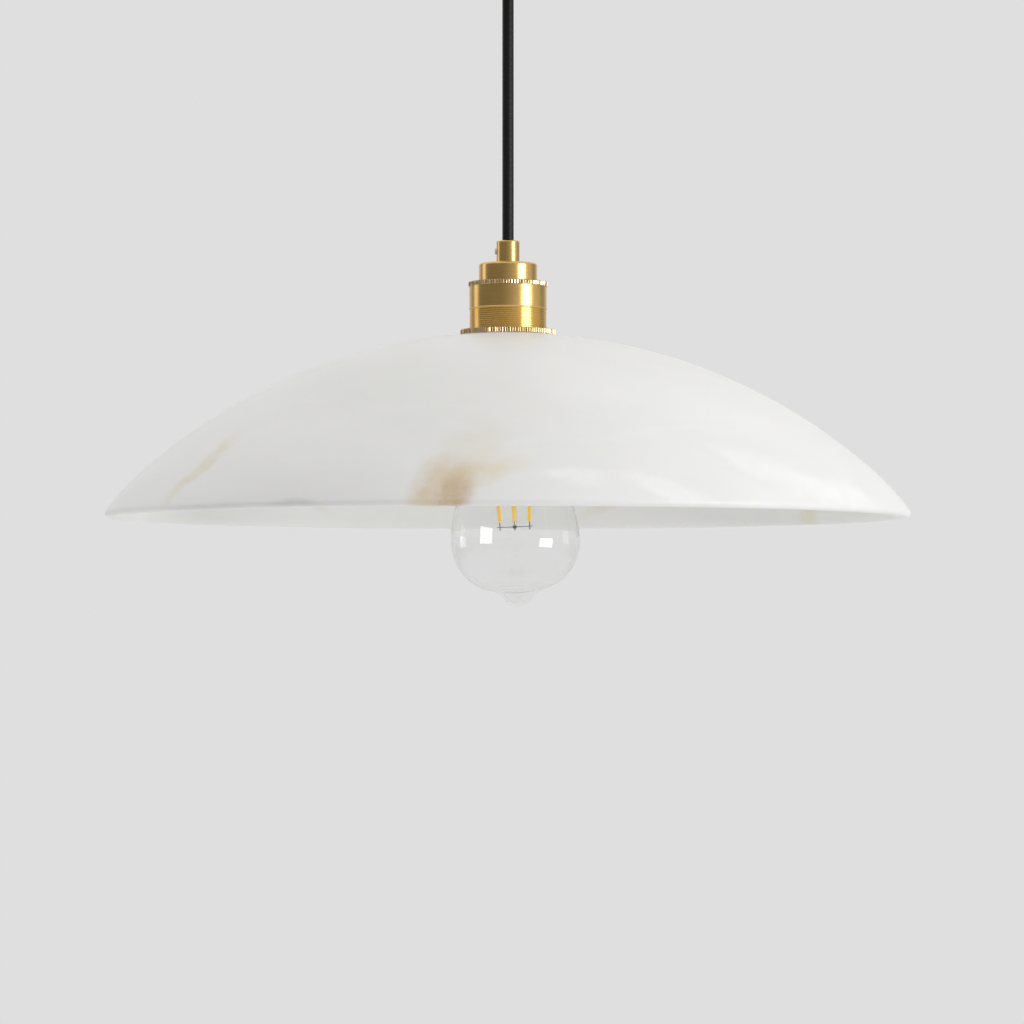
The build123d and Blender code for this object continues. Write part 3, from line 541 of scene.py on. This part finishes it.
# Each mark: centre, turn, half length, half width, wander, wobble, strength and tone
stone_marks = (
    # the brown stain at the front of the rim, its wisp to the right and the pale halo above
    ((-31 * mm, -190 * mm, -301 * mm), -68, 27 * mm, 18 * mm, 14 * mm, 45, 0.62, amber_tone),
    ((-24 * mm, -190 * mm, -303 * mm), -66, 21 * mm, 10 * mm, 10 * mm, 70, 0.66, brown_tone),
    ((-9 * mm, -186 * mm, -290 * mm), -14, 24 * mm, 8 * mm, 12 * mm, 60, 0.42, ochre_tone),
    ((-17 * mm, -180 * mm, -282 * mm), -50, 30 * mm, 18 * mm, 14 * mm, 40, 0.24, ochre_tone),
    # the thin ochre vein up the left, and a yellow one inside at the back right
    ((-145 * mm, -108 * mm, -287 * mm), -45, 34 * mm, 3.6 * mm, 11 * mm, 50, 0.50, ochre_tone),
    ((157 * mm, 118 * mm, -299 * mm), 70, 16 * mm, 7 * mm, 9 * mm, 50, 0.45, ochre_tone),
    # painted shade: grey patches along the left of the rim, where its rounded edge faces down
    ((-96 * mm, -172 * mm, -304 * mm), 0, 17 * mm, 2.8 * mm, 5 * mm, 50, 0.20, painted_rim_shade_tone),
    ((-142 * mm, -136 * mm, -305 * mm), 0, 22 * mm, 2.2 * mm, 7 * mm, 50, 0.16, painted_rim_shade_tone),
    # white clouds along the right of the rim
    ((30 * mm, -188 * mm, -292 * mm), 8, 22 * mm, 5 * mm, 12 * mm, 40, 0.75, cloud_tone),
    ((72 * mm, -180 * mm, -298 * mm), 14, 27 * mm, 6 * mm, 12 * mm, 40, 0.85, cloud_tone),
    ((152 * mm, -118 * mm, -298 * mm), 8, 44 * mm, 9 * mm, 16 * mm, 35, 0.70, cloud_tone),
    ((112 * mm, -150 * mm, -284 * mm), 20, 30 * mm, 7 * mm, 16 * mm, 35, 0.55, cloud_tone),
    # marks round the back, of the same kinds
    ((62 * mm, 176 * mm, -288 * mm), -30, 34 * mm, 7 * mm, 16 * mm, 45, 0.40, ochre_tone),
    ((-118 * mm, 142 * mm, -280 * mm), 40, 36 * mm, 6 * mm, 14 * mm, 40, 0.35, amber_tone),
    ((-60 * mm, 120 * mm, -240 * mm), 25, 50 * mm, 8 * mm, 22 * mm, 30, 0.60, cloud_tone),
)


def white_stone():
    """Translucent white stone: soft clouds, pale streaks, and the marks listed above, painted
    shade along the rim among them.
    """
    material, tree, shader = new_material("white_stone")
    lie = place_on_piece(tree, rotation=(0.2, 0.5, 0.1), scale=(1, 1, 2.2))
    clouds = noise(tree, lie, 7.0, 5.0, 0.55, 0.6)
    colour = ramp(
        tree,
        clouds,
        (0.30, (0.845, 0.85, 0.83)),
        (0.55, (0.875, 0.875, 0.865)),
        (0.75, (0.91, 0.91, 0.905)),
    )
    grain = place_on_piece(tree, rotation=(0, 0.35, 0), scale=(1, 1, 7))
    streaks = noise(tree, grain, 9.0, 6.0, 0.6, 1.2)
    colour = mix(tree, ramp(tree, streaks, (0.54, 0.0), (0.72, 0.22)), colour, (0.95, 0.95, 0.945))
    broken = noise(tree, place_on_piece(tree), 110.0, 4.0, 0.7)
    for *outline, strength, tone in stone_marks:
        patch = stone_mark(tree, *outline)
        texture = ramp(tree, broken, (0.34, 0.55 * strength), (0.60, strength))
        colour = mix(tree, maths(tree, "MULTIPLY", patch, texture), colour, tone)
    link(tree, colour, shader.inputs["Base Color"])
    shader.inputs["Roughness"].default_value = 0.42
    shader.inputs["Subsurface Weight"].default_value = 0.30
    shader.inputs["Subsurface Radius"].default_value = (1.0, 0.9, 0.7)
    shader.inputs["Subsurface Scale"].default_value = 8 * mm
    shader.inputs["IOR"].default_value = 1.5
    bump(tree, shader, noise(tree, place_on_piece(tree), 220.0, 4.0, 0.6), 0.06, 0.15 * mm)
    return material


stone = white_stone()


# Cord: the straight drop, its braid pressed out of one tube. Its top is a blunt cone whose
# point is the centre of the swing, hidden in the grip, so that it tips clear of the bend above.

cord_shoulder = swing_centre - cord_radius * tan(swing_limit)


def cord_route():
    """The cord's line, from the rose's grip down to the lampholder's."""
    curve = bpy.data.curves.new("cord_line", "CURVE")
    curve.dimensions = "3D"
    spline = curve.splines.new("NURBS")
    apart = 42 * mm
    heights = (cord_shoulder, cord_shoulder - apart, lamp_grip_top + apart, lamp_grip_top)
    spline.points.add(len(heights) - 1)
    for point, height in zip(spline.points, heights):
        point.co = (0, 0, height, 1)
    spline.order_u = 3
    spline.use_endpoint_u = True
    spline.resolution_u = 24
    holder = bpy.data.objects.new("cord_line", curve)
    bpy.context.scene.collection.objects.link(holder)
    bpy.context.view_layer.update()
    depsgraph = bpy.context.evaluated_depsgraph_get()
    line = bpy.data.meshes.new_from_object(holder.evaluated_get(depsgraph))
    points = [v.co.copy() for v in line.vertices]
    bpy.data.objects.remove(holder)
    bpy.data.meshes.remove(line)
    return points


def braided_tube(name, path, radius, carriers, pitch, around, step):
    """A tube along a straight path, with two sets of strands that pass over and under."""
    top, bottom = path[0], path[-1]
    rows = int(round((top - bottom).length / step))
    crown_height, relief = 0.09 * mm, 0.12 * mm
    strand_fullness, crossing_lift = 0.4, 0.25
    corners, faces, heights = [], [], []
    for row in range(rows + 1):
        z = top.z + (bottom.z - top.z) * row / rows
        for column in range(around):
            turn = 2 * pi * column / around
            left = carriers * turn / (2 * pi) + z / pitch * carriers
            right = carriers * turn / (2 * pi) - z / pitch * carriers
            over = sin(pi * (left + right) / 2) * sin(pi * (left - right) / 2)
            crown = abs(sin(pi * left)) if over > 0 else abs(sin(pi * right))
            lift = crown**strand_fullness * (1 - crossing_lift + crossing_lift * abs(over))
            reach = radius + crown_height - relief * (1 - lift)
            corners.append((reach * cos(turn), reach * sin(turn), z))
            heights.append(lift)
    for row in range(rows):
        for column in range(around):
            a = row * around + column
            b = row * around + (column + 1) % around
            faces.append((a, a + around, b + around, b))
    corners.append((0, 0, swing_centre))
    heights.append(0.0)
    point = len(corners) - 1
    faces += [(point, column, (column + 1) % around) for column in range(around)]
    faces.append(tuple(reversed(range(rows * around, (rows + 1) * around))))
    mesh = bpy.data.meshes.new(name)
    mesh.from_pydata(corners, [], faces)
    # Each corner's lift, which the braid's material turns into painted shade in the dips
    strand = mesh.attributes.new("strand", "FLOAT", "POINT")
    strand.data.foreach_set("value", heights)
    mesh.update()
    piece = bpy.data.objects.new(name, mesh)
    bpy.context.scene.collection.objects.link(piece)
    smooth(piece, 80)
    return piece


path = cord_route()
cord = braided_tube(
    "braided_cord", path, cord_radius, carriers=16, pitch=26 * mm, around=96, step=0.24 * mm
)
finish_piece(cord, black_braid, "cord", "cord")


# Shade: crown, shoulder and rounded rim, drawn round as a shell

def shade_profile():
    wall = stone_wall
    hole, seat_radius = 20 * mm, 24 * mm
    crown_radius, shoulder = 273 * mm, 181.4 * mm
    rim_edge, rim_face = 2 * mm, 8 * mm
    inner_edge, inner_ease = 1.1 * mm, 0.3 * mm
    crown_centre = shade_seat - sqrt(crown_radius**2 - seat_radius**2)
    crown_end = asin(shoulder / crown_radius)
    crown_start = asin(seat_radius / crown_radius)
    outward = Vector((sin(crown_end), cos(crown_end)))
    rim_centre = Vector((shade_radius - rim_edge, rim_height + rim_edge))
    joint = Vector((0, crown_centre)) + outward * crown_radius
    reach = joint - rim_centre
    side_radius = (reach.dot(reach) - rim_edge**2) / 2 / (reach.dot(outward) - rim_edge)
    side_centre = joint - outward * side_radius
    touch = (rim_centre - side_centre).normalized()
    touch_turn = atan2(touch.y, touch.x)
    start_turn = atan2(outward.y, outward.x)
    points = [(hole, shade_seat), (seat_radius, shade_seat)]
    points += arc(
        (0, crown_centre), crown_radius, 90 - degrees(crown_start), 90 - degrees(crown_end), 40
    )[1:]
    points += arc(side_centre, side_radius, degrees(start_turn), degrees(touch_turn), 10)[1:]
    points += arc(rim_centre, rim_edge, degrees(touch_turn), -90, 6)[1:]
    inner = crown_radius - wall
    inner_joint = Vector((0, crown_centre)) + outward * inner
    foot = Vector((shade_radius - rim_face, rim_height))
    across = foot - inner_joint
    inner_side = -across.dot(across) / 2 / across.dot(outward)
    inner_centre = inner_joint - outward * inner_side
    foot_reach = foot - inner_centre
    foot_turn = atan2(foot_reach.y, foot_reach.x)
    points += [(foot.x + inner_edge, rim_height), (foot.x + inner_ease, rim_height + inner_ease)]
    points += arc(inner_centre, inner_side, degrees(foot_turn), degrees(start_turn), 8)[1:]
    seat_turn = acos(sqrt(inner**2 - (shade_underside - crown_centre) ** 2) / inner)
    points += arc((0, crown_centre), inner, degrees(start_turn), degrees(seat_turn), 36)[1:]
    points += [(hole, shade_underside), (hole, shade_seat)]
    return points


shade = turned("stone_shade", shade_profile(), 192)
smooth(shade, 40)
finish_piece(shade, stone, "shade", "shade")


# Rings, lampholder and grips

def knurled_ring(name, bottom, height, radius, bore, teeth):
    """A ring with chamfered corners, fluted all round."""
    chamfer, flat_end = 0.22 * mm, radius - 1.2 * mm
    profile = [
        (bore, bottom + height),
        (flat_end, bottom + height),
        (radius - chamfer, bottom + height),
        (radius, bottom + height - chamfer),
        (radius, bottom + chamfer),
        (radius - chamfer, bottom),
        (flat_end, bottom),
        (bore, bottom),
        (bore, bottom + height),
    ]
    piece = turned(name, held(profile, 0.1 * mm), teeth * points_per_tooth)
    flute(piece, teeth, radius, flute_depth)
    smooth(piece, 88)
    return piece


flute_depth = 0.54 * mm
ring_teeth, collar_teeth = 117, 87
upper_ring = knurled_ring(
    "upper_ring", upper_ring_bottom, upper_ring_height, ring_radius, ring_bore, ring_teeth
)
finish_piece(upper_ring, knurl_brass, "upper_ring", "upper_shade_ring")
lower_ring = knurled_ring(
    "lower_ring", lower_ring_bottom, lower_ring_height, ring_radius, ring_bore, ring_teeth
)
finish_piece(lower_ring, knurl_brass, "lower_ring", "lower_shade_ring")
collar = knurled_ring(
    "skirt_collar", collar_bottom, collar_height, collar_radius, skirt_bore, collar_teeth
)


def skirt_profile():
    """Smooth band, ridge and fine thread outside, plain bore inside."""
    lip, lip_height, lip_ease = 16.6 * mm, 1.2 * mm, 0.3 * mm
    pitch, depth = 1.0 * mm, 0.26 * mm
    crest_half, groove_half = 0.34 * pitch, 0.05 * pitch
    eased, eased_height = 0.045 * mm, 0.02 * mm
    # The ridge: how far out, and how far above its middle
    ridge = ((0, 0.45 * mm), (0.14 * mm, 0.22 * mm), (0.2 * mm, 0), (0.14 * mm, -0.16 * mm))
    points = [(skirt_bore, collar_bottom), (skirt_radius, collar_bottom)]
    points += [(skirt_radius + out, ridge_middle + above) for out, above in ridge]
    points += [(skirt_radius, thread_top)]
    turns = int((thread_top - mouth_height) / pitch)
    for turn in range(turns):
        crest = thread_top - (turn + 0.5) * pitch
        upper, lower = crest + 0.5 * pitch, crest - 0.5 * pitch
        points += [
            (thread_radius - depth, upper + groove_half),
            (thread_radius - depth, upper - groove_half),
            (thread_radius - eased, upper - groove_half - eased_height),
            (thread_radius, crest + crest_half),
            (thread_radius, crest - crest_half),
            (thread_radius - eased, lower + groove_half + eased_height),
        ]
    points += [
        (thread_radius - depth, mouth_height + lip_ease),
        (thread_radius - depth - lip_ease, mouth_height),
        (lip + lip_ease, mouth_height),
        (lip, mouth_height + lip_ease),
        (lip, mouth_height + lip_height),
        (skirt_bore, mouth_height + lip_height),
        (skirt_bore, collar_bottom),
    ]
    return points


skirt = turned("skirt_tube", held(skirt_profile(), 0.12 * mm), 160)
smooth(skirt, 50)
skirt_whole = join("lampholder_skirt_turned", [skirt, collar])
finish_piece(skirt_whole, satin_brass, "lampholder", "lampholder_skirt")
skirt_whole.data.materials.append(thread_brass)
skirt_whole.data.materials.append(knurl_brass)
on_band, on_thread, on_collar = 0, 1, 2
for face in skirt_whole.data.polygons:
    if face.center.z < thread_top:
        face.material_index = on_thread
    elif face.center.z > collar_bottom:
        face.material_index = on_collar
    else:
        face.material_index = on_band


def cap_profile():
    """Turned cap with a rounded top edge, a flat closing disc and a sleeve."""
    wall, stem = 1.2 * mm, 5.0 * mm
    sleeve, sleeve_wall = 17.85 * mm, 1.5 * mm
    sleeve_bottom = collar_top - 6 * mm
    points = [(stem, cap_top)]
    points += arc((cap_radius - cap_rounding, cap_top - cap_rounding), cap_rounding, 90, 0, 8)
    points += [
        (cap_radius, collar_top + 0.4 * mm),
        (cap_radius + 0.25 * mm, collar_top + 0.06 * mm),
        (cap_radius + 0.6 * mm, collar_top),
        (sleeve, collar_top),
        (sleeve, sleeve_bottom),
        (sleeve - sleeve_wall, sleeve_bottom),
        (sleeve - sleeve_wall, collar_top - wall),
        (cap_radius - wall, collar_top - wall),
        (cap_radius - wall, cap_top - wall),
        (stem, cap_top - wall),
        (stem, cap_top),
    ]
    return points


cap = turned("lampholder_cap_turned", held(cap_profile()), 128)
smooth(cap, 40)
finish_piece(cap, satin_brass, "lampholder", "lampholder_cap")


def grip_profile(top, bottom, stem_end, mouth=()):
    """A sleeve round the cord, with its bore, and its stem behind. It is rounded at its top, or
    where the cord leaves downwards through a mouth, at its bottom."""
    stem, rounding, ease = 4.95 * mm, 0.7 * mm, 0.15 * mm
    if mouth:
        face, back, way = bottom, top, 1
        bore_end = list(mouth)
    else:
        face, back, way = top, bottom, -1
        bore_end = [(grip_bore, top), (grip_bore + 0.3 * mm, top)]
    corner = (grip_radius - rounding, face + way * rounding)
    return (
        bore_end
        + arc(corner, rounding, -way * 90, 0, 5)
        + [(grip_radius, back - way * ease), (grip_radius - ease, back), (stem, back)]
        + [(stem, stem_end), (grip_bore, stem_end), bore_end[0]]
    )


def bar_to_the_left(name, inner_end, outer_end, height, radius):
    """A round bar across the cord's axis, left of it."""
    deselect()
    bpy.ops.mesh.primitive_cylinder_add(
        vertices=32,
        radius=radius,
        depth=inner_end - outer_end,
        location=((inner_end + outer_end) / 2, 0, height),
        rotation=(0, pi / 2, 0),
    )
    return settle(name)


def grub(name, height):
    """A slotted grub screw."""
    head = -6.5 * mm
    slot_size = (1.4 * mm, 0.5 * mm, 4 * mm)
    piece = bar_to_the_left(name, -grip_bore, head, height, 1.5 * mm)
    soften(piece, 0.18 * mm, 2)
    deselect()
    bpy.ops.mesh.primitive_cube_add(size=1, location=(head, 0, height))
    bpy.context.object.scale = slot_size
    cut_out(piece, settle("blade"))
    smooth(piece)
    return piece


def grip_with_grub(name, grub_name, profile, body, solids, grub_height):
    """A cord grip, drilled on the left for the grub screw that holds the cord."""
    grip = turned(name, profile, 64)
    cut_out(grip, bar_to_the_left("drill", -2.5 * mm, -10.5 * mm, grub_height, 1.55 * mm))
    smooth(grip)
    finish_piece(grip, satin_brass, body, solids[0])
    finish_piece(grub(grub_name, grub_height), zinc, body, solids[1])


stem_length = 8 * mm
grip_with_grub(
    "lamp_grip",
    "lamp_grub",
    held(grip_profile(lamp_grip_top, cap_top, cap_top - stem_length)),
    "lampholder",
    ("lamp_cord_grip", "lamp_grip_screw"),
    lamp_grip_top - 5.2 * mm,
)

# The rose's grip has a flared mouth, clear of the cord at its furthest tilt, both swings at
# their limits
mouth_depth, mouth_gap = 2.4 * mm, 0.15 * mm
pivot_height = rose_grip_bottom + mouth_depth
full_tilt = 2 * asin(sqrt(2) * sin(swing_limit / 2))
throat = cord_radius / cos(full_tilt) + mouth_gap
flare = mouth_depth * tan(full_tilt) + throat
rose_mouth = (
    (grip_bore, pivot_height + cord_radius),
    (throat, pivot_height + cord_radius),
    (throat, pivot_height),
    (flare, rose_grip_bottom),
)
grip_with_grub(
    "rose_grip",
    "rose_grub",
    grip_profile(rose_floor, rose_grip_bottom, rose_floor + stem_length, rose_mouth),
    "rose",
    ("rose_cord_grip", "rose_grip_screw"),
    rose_floor - 4 * mm,
)


# Ceiling rose: a spun cup with a rolled edge, and its two knurled screws

def rose_profile():
    wall, corner, edge = 1.2 * mm, 7 * mm, 0.2 * mm
    stem, top = 5.0 * mm, -0.1 * mm
    points = [(stem, rose_floor), (12 * mm, rose_floor)]
    points += arc((rose_radius - corner, rose_floor + corner), corner, -90, 0, 14)
    points += [
        (rose_radius, top - edge),
        (rose_radius - edge, top),
        (rose_radius - wall + edge, top),
        (rose_radius - wall, top - edge),
    ]
    points += arc((rose_radius - corner, rose_floor + corner), corner - wall, 0, -90, 12)
    points += [(stem, rose_floor + wall), (stem, rose_floor)]
    return points


rose = turned("rose_cup_spun", held(rose_profile(), 0.6 * mm), 160)
smooth(rose, 40)
finish_piece(rose, satin_brass, "rose", "rose_cup")


def side_screw(side):
    """A shank and a knurled head, turned on its side."""
    shank_end, shank_radius = 45.55 * mm, 2.0 * mm
    head_seat, head_radius, head_teeth = 50.1 * mm, 4.5 * mm, 24
    head_end = head_seat + 4 * mm
    screw_height = -8 * mm
    profile = [
        (0, shank_end),
        (shank_radius, shank_end),
        (shank_radius, head_seat),
        (3.6 * mm, head_seat),
        (head_radius - 0.2 * mm, head_seat),
        (head_radius, head_seat + 0.2 * mm),
        (head_radius, head_end - 0.5 * mm),
        (head_radius - 0.5 * mm, head_end),
        (1.5 * mm, head_end),
        (0, head_end),
    ]
    piece = turned("side_screw", profile, head_teeth * points_per_tooth)
    flute(piece, head_teeth, head_radius, 0.3 * mm)
    stand(piece, (0, side * pi / 2, 0), (0, 0, screw_height))
    smooth(piece)
    return piece


screws = join("rose_screws", [side_screw(1), side_screw(-1)])
finish_piece(screws, satin_brass, "rose", "rose_side_screws")


# Bulb: glass blown to a long cone with a drawn tip, leaning a little on its cap

lean = radians(2.6)
glass_down = Vector((sin(lean), 0, -cos(lean)))
glass_side = Vector((cos(lean), 0, sin(lean)))
bulb_origin = Vector((0, 0, bulb_rim))


def on_glass(depth, out, turn):
    """A point at a depth below the cap's rim, out from the glass's axis at an angle."""
    turn = radians(turn)
    sideways = glass_side * out * cos(turn)
    return bulb_origin + glass_down * depth + sideways + Vector((0, out * sin(turn), 0))


def lean_on_cap(piece):
    """Move a piece made about the origin to the cap's rim and tip it over."""
    stand(piece, (0, -lean, 0), bulb_origin)


def fillet_corner(before, corner, after, radius, steps):
    """Points that round one corner of a profile."""
    corner = Vector(corner)
    one, two = (Vector(before) - corner).normalized(), (Vector(after) - corner).normalized()
    half = one.angle(two) / 2
    reach = radius / tan(half)
    centre = corner + (one + two).normalized() * radius / sin(half)
    start, end = corner + one * reach - centre, corner + two * reach - centre
    first, last = atan2(start.y, start.x), atan2(end.y, end.x)
    while last - first > pi:
        last -= 2 * pi
    while first - last > pi:
        last += 2 * pi
    return arc(centre, radius, degrees(first), degrees(last), steps)


def outer_meeting(first, first_radius, second, second_radius):
    """Where two circles cross, on the side away from the axis."""
    apart = second - first
    along = (first_radius**2 - second_radius**2 + apart.dot(apart)) / (2 * apart.length)
    off = sqrt(first_radius**2 - along**2)
    way = apart.normalized()
    across = Vector((way.y, -way.x))
    middle = first + way * along
    return max(middle + across * off, middle - across * off, key=lambda point: point.x)


def heading(start, end):
    """Degrees from straight out of the line from one point of a profile to another."""
    return degrees(atan2(end.y - start.y, end.x - start.x))


def glass_outline(inset):
    """One face of the glass from the neck to the drawn tip, in depths below the cap's rim."""
    neck = glass_neck - inset
    cone = radians(cone_angle)
    shoulder = glass_shoulder - inset
    cone_end = Vector(
        (belly - glass_shoulder + shoulder * cos(cone), widest - shoulder * sin(cone))
    )
    corner = (neck, cone_end.y - (cone_end.x - neck) / tan(cone))
    base, tip, blend = base_round - inset, tip_round - inset, tip_blend + inset
    base_centre = Vector((belly - base_round, widest))
    tip_centre = Vector((0, glass_length - tip_round))
    blend_centre = outer_meeting(base_centre, base + blend, tip_centre, tip + blend)
    points = [(neck, -glass_in_cap)]
    points += fillet_corner((neck, 0), corner, cone_end, neck_round + inset, 10)
    points += arc((belly - glass_shoulder, widest), shoulder, -cone_angle, 0, 12)
    points += arc(base_centre, base, 0, heading(base_centre, blend_centre), 16)[1:]
    points += arc(
        blend_centre,
        blend,
        heading(blend_centre, base_centre),
        heading(blend_centre, tip_centre),
        9,
    )[1:]
    points += arc(tip_centre, tip, heading(tip_centre, blend_centre), 84, 8)[1:]
    points += [(0, glass_length - inset)]
    return points


glass_neck, glass_in_cap = 11.9 * mm, 5 * mm
glass_wall = 0.9 * mm
belly, widest, glass_length = 32.1 * mm, 83 * mm, 115 * mm
cone_angle, neck_round = 15.4, 30 * mm
glass_shoulder, base_round = 60 * mm, 24.5 * mm
tip_round, tip_blend = 8 * mm, 12 * mm


def blown_glass():
    """The outside from the tip up to the neck, then the inside back down to the tip."""
    outside, inside = glass_outline(0), glass_outline(glass_wall)
    profile = [(radius, -depth) for radius, depth in outside[::-1] + inside]
    piece = turned("bulb_glass_blown", profile, 128)
    lean_on_cap(piece)
    smooth(piece, 60)
    return piece


glass = blown_glass()
finish_piece(glass, bulb_clear, "bulb", "bulb_glass")


bead_depth, bead_radius = 75.3 * mm, 1.15 * mm


def stem_profile():
    """Up the inside of the hollow funnel, then down outside it to the press, rod and bead."""
    edge = glass_neck - glass_wall - 0.05 * mm
    inside = [
        (0, -15.8 * mm),
        (2.2 * mm, -15.4 * mm),
        (3.6 * mm, -13.2 * mm),
        (5.4 * mm, -10.6 * mm),
        (7.4 * mm, -7.5 * mm),
        (9.2 * mm, -3.4 * mm),
        (edge - glass_wall, 0),
        (edge - glass_wall, glass_in_cap),
    ]
    outside = [
        (edge, glass_in_cap),
        (edge, -0.6 * mm),
        (10.0 * mm, -4.0 * mm),
        (8.2 * mm, -8.2 * mm),
        (6.2 * mm, -11.4 * mm),
        (4.5 * mm, -14.2 * mm),
        (3.5 * mm, -17 * mm),
        (2.7 * mm, -22 * mm),
        (2.2 * mm, -24 * mm),
        (1.3 * mm, -25 * mm),
        (1.1 * mm, -25.6 * mm),
        (1.1 * mm, -73.8 * mm),
    ]
    bead = arc((0, -bead_depth), bead_radius, 40, -80, 10)
    return inside + outside + bead + [(0, -bead_depth - bead_radius)]


def glass_stem():
    piece = turned("stem_drawn", stem_profile(), 48)
    lean_on_cap(piece)
    smooth(piece, 60)
    return piece


stem = glass_stem()
finish_piece(stem, bulb_clear, "bulb", "bulb_stem")

# Ends of the sticks and wires: depth below the cap's rim, and distance out from the axis
stick_foot, stick_head = (72.7 * mm, 7.4 * mm), (34.7 * mm, 9.0 * mm)
post_top, post_bottom = (72.85 * mm, 7.4 * mm), (76.9 * mm, 7.4 * mm)
arm_start, arm_end = (bead_depth, bead_radius - 0.05 * mm), (bead_depth, 9.0 * mm)
strut_top, strut_bottom = (24.3 * mm, 2.35 * mm), (34.55 * mm, 9.0 * mm)
stick_radius, wire_radius, arm_radius = 0.95 * mm, 0.25 * mm, 0.17 * mm
wire_runs = (
    ("post", post_top, post_bottom, wire_radius),
    ("arm", arm_start, arm_end, arm_radius),
    ("strut", strut_top, strut_bottom, wire_radius),
)
quarter_turns = (0, 90, 180, 270)
sticks = [
    rod("stick", on_glass(*stick_foot, t), on_glass(*stick_head, t), stick_radius, 20, 0.3 * mm)
    for t in quarter_turns
]
filaments = join("filament_sticks", sticks)
finish_piece(filaments, phosphor_painted_glow, "bulb", "bulb_filaments")

wires = [
    rod(name, on_glass(*start, t), on_glass(*end, t), radius, 10)
    for t in quarter_turns
    for name, start, end, radius in wire_runs
]
wires = join("support_wires", wires)
finish_piece(wires, wire_steel, "bulb", "bulb_wires")


# Finishes of the pieces that stay as they are
finishes = {
    zinc: ["ceiling_bracket", "terminal_screws", "terminal_block_screw", "rose_earth_screw",
           "lamp_earth_screw", "lamp_terminal_screws"],
    satin_brass: ["rose_grip_nut", "lamp_grip_nut"],
    contact_brass: ["terminal_tubes", "live_terminal", "neutral_terminal", "screw_shell",
                    "centre_contact", "contact_rivets"],
    white_plastic: ["terminal_block", "bulb_driver"],
    porcelain: ["porcelain_insert"],
    washer_rubber: ["upper_washer", "lower_washer"],
    nickel: ["bulb_cap", "bulb_contact"],
    black_glass: ["bulb_cap_glass"],
    wire_steel: ["bulb_leads"],
    black_braid: ["cord_root", "rose_cord_tail", "lamp_cord_tail"],
    brown_core: ["rose_core_live", "lamp_core_live"],
    blue_core: ["rose_core_neutral", "lamp_core_neutral"],
    earth_core: ["rose_core_earth", "lamp_core_earth"],
}
for material, names in finishes.items():
    for name in names:
        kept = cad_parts[name]
        kept.data.materials.clear()
        kept.data.materials.append(material)
        smooth(kept)


# Room: a pale floor far below, soft lamps, and a world that is pale to the eye

lamp_aim = Vector((0, 0, -0.27))


def soft_lamp(name, azimuth, elevation, distance, width, height, power):
    """A soft rectangular lamp round the light; azimuth 0 is the viewer's side, 90 the right."""
    data = bpy.data.lights.new(name, "AREA")
    data.shape = "RECTANGLE"
    data.size, data.size_y = width, height
    data.energy = power
    lamp = bpy.data.objects.new(name, data)
    bpy.context.scene.collection.objects.link(lamp)
    a, e = radians(azimuth), radians(elevation)
    way = Vector((sin(a) * cos(e), -cos(a) * cos(e), sin(e)))
    lamp.location = lamp_aim + way * distance
    lamp.rotation_euler = way.to_track_quat("Z", "Y").to_euler()


soft_lamp("key", 57, 0, distance=2.2, width=1.0, height=1.0, power=20)
soft_lamp("left_panel", -110, 8, distance=2.4, width=0.8, height=1.3, power=3.4)

floor_size, floor_height = 14, -3.2
deselect()
bpy.ops.mesh.primitive_plane_add(size=floor_size, location=(0, 0, floor_height))
floor = settle("floor")
floor.data.materials.append(plain("pale_floor", (0.92, 0.92, 0.92), (0.90, 0.90, 0.90), 0.8, 2.0))

world = bpy.data.worlds.new("room")
bpy.context.scene.world = world
world.use_nodes = True
tree = world.node_tree
background = tree.nodes["Background"]
direction = node(tree, "ShaderNodeTexCoord")
parts = node(tree, "ShaderNodeSeparateXYZ")
link(tree, direction.outputs["Generated"], parts.inputs["Vector"])
rightward, away, upward = (parts.outputs[axis] for axis in "XYZ")

backdrop_tone, room_tone = (0.737, 0.737, 0.737), (0.18, 0.18, 0.18)
ceiling_tone, ground_tone = (0.90, 0.90, 0.90), (0.96, 0.96, 0.96)
mirror_left, mirror_right = (0.22, 0.22, 0.22), (0.62, 0.62, 0.62)

# What lights the object: a dim room with a pale wall behind
behind = share_between(tree, away, -0.3, 0.5)
room = mix(tree, behind, room_tone, backdrop_tone)

# What metal and glass mirror: darker on the left, paler on the right, the backdrop far behind
in_front = share_between(tree, away, 0.75, 0.1)
to_the_right = maths(tree, "MULTIPLY", share_between(tree, rightward, -0.5, 1.0), in_front)
mirrored = mix(tree, to_the_right, mirror_left, mirror_right)
mirrored = mix(tree, share_between(tree, away, 0.5, 0.98), mirrored, backdrop_tone)
rays = node(tree, "ShaderNodeLightPath")
room = mix(tree, rays.outputs["Is Glossy Ray"], room, mirrored)
room = mix(tree, share_between(tree, upward, 0.15, 0.6), room, ceiling_tone)
room = mix(tree, share_between(tree, upward, -0.15, -0.6), room, ground_tone)

# The eye sees the backdrop alone, also through glass
seen = maths(tree, "MAXIMUM", rays.outputs["Is Camera Ray"], rays.outputs["Is Transmission Ray"])
link(tree, mix(tree, seen, room, backdrop_tone), background.inputs["Color"])
background.inputs["Strength"].default_value = 1.0
bpy.context.scene.view_settings.view_transform = "Standard"
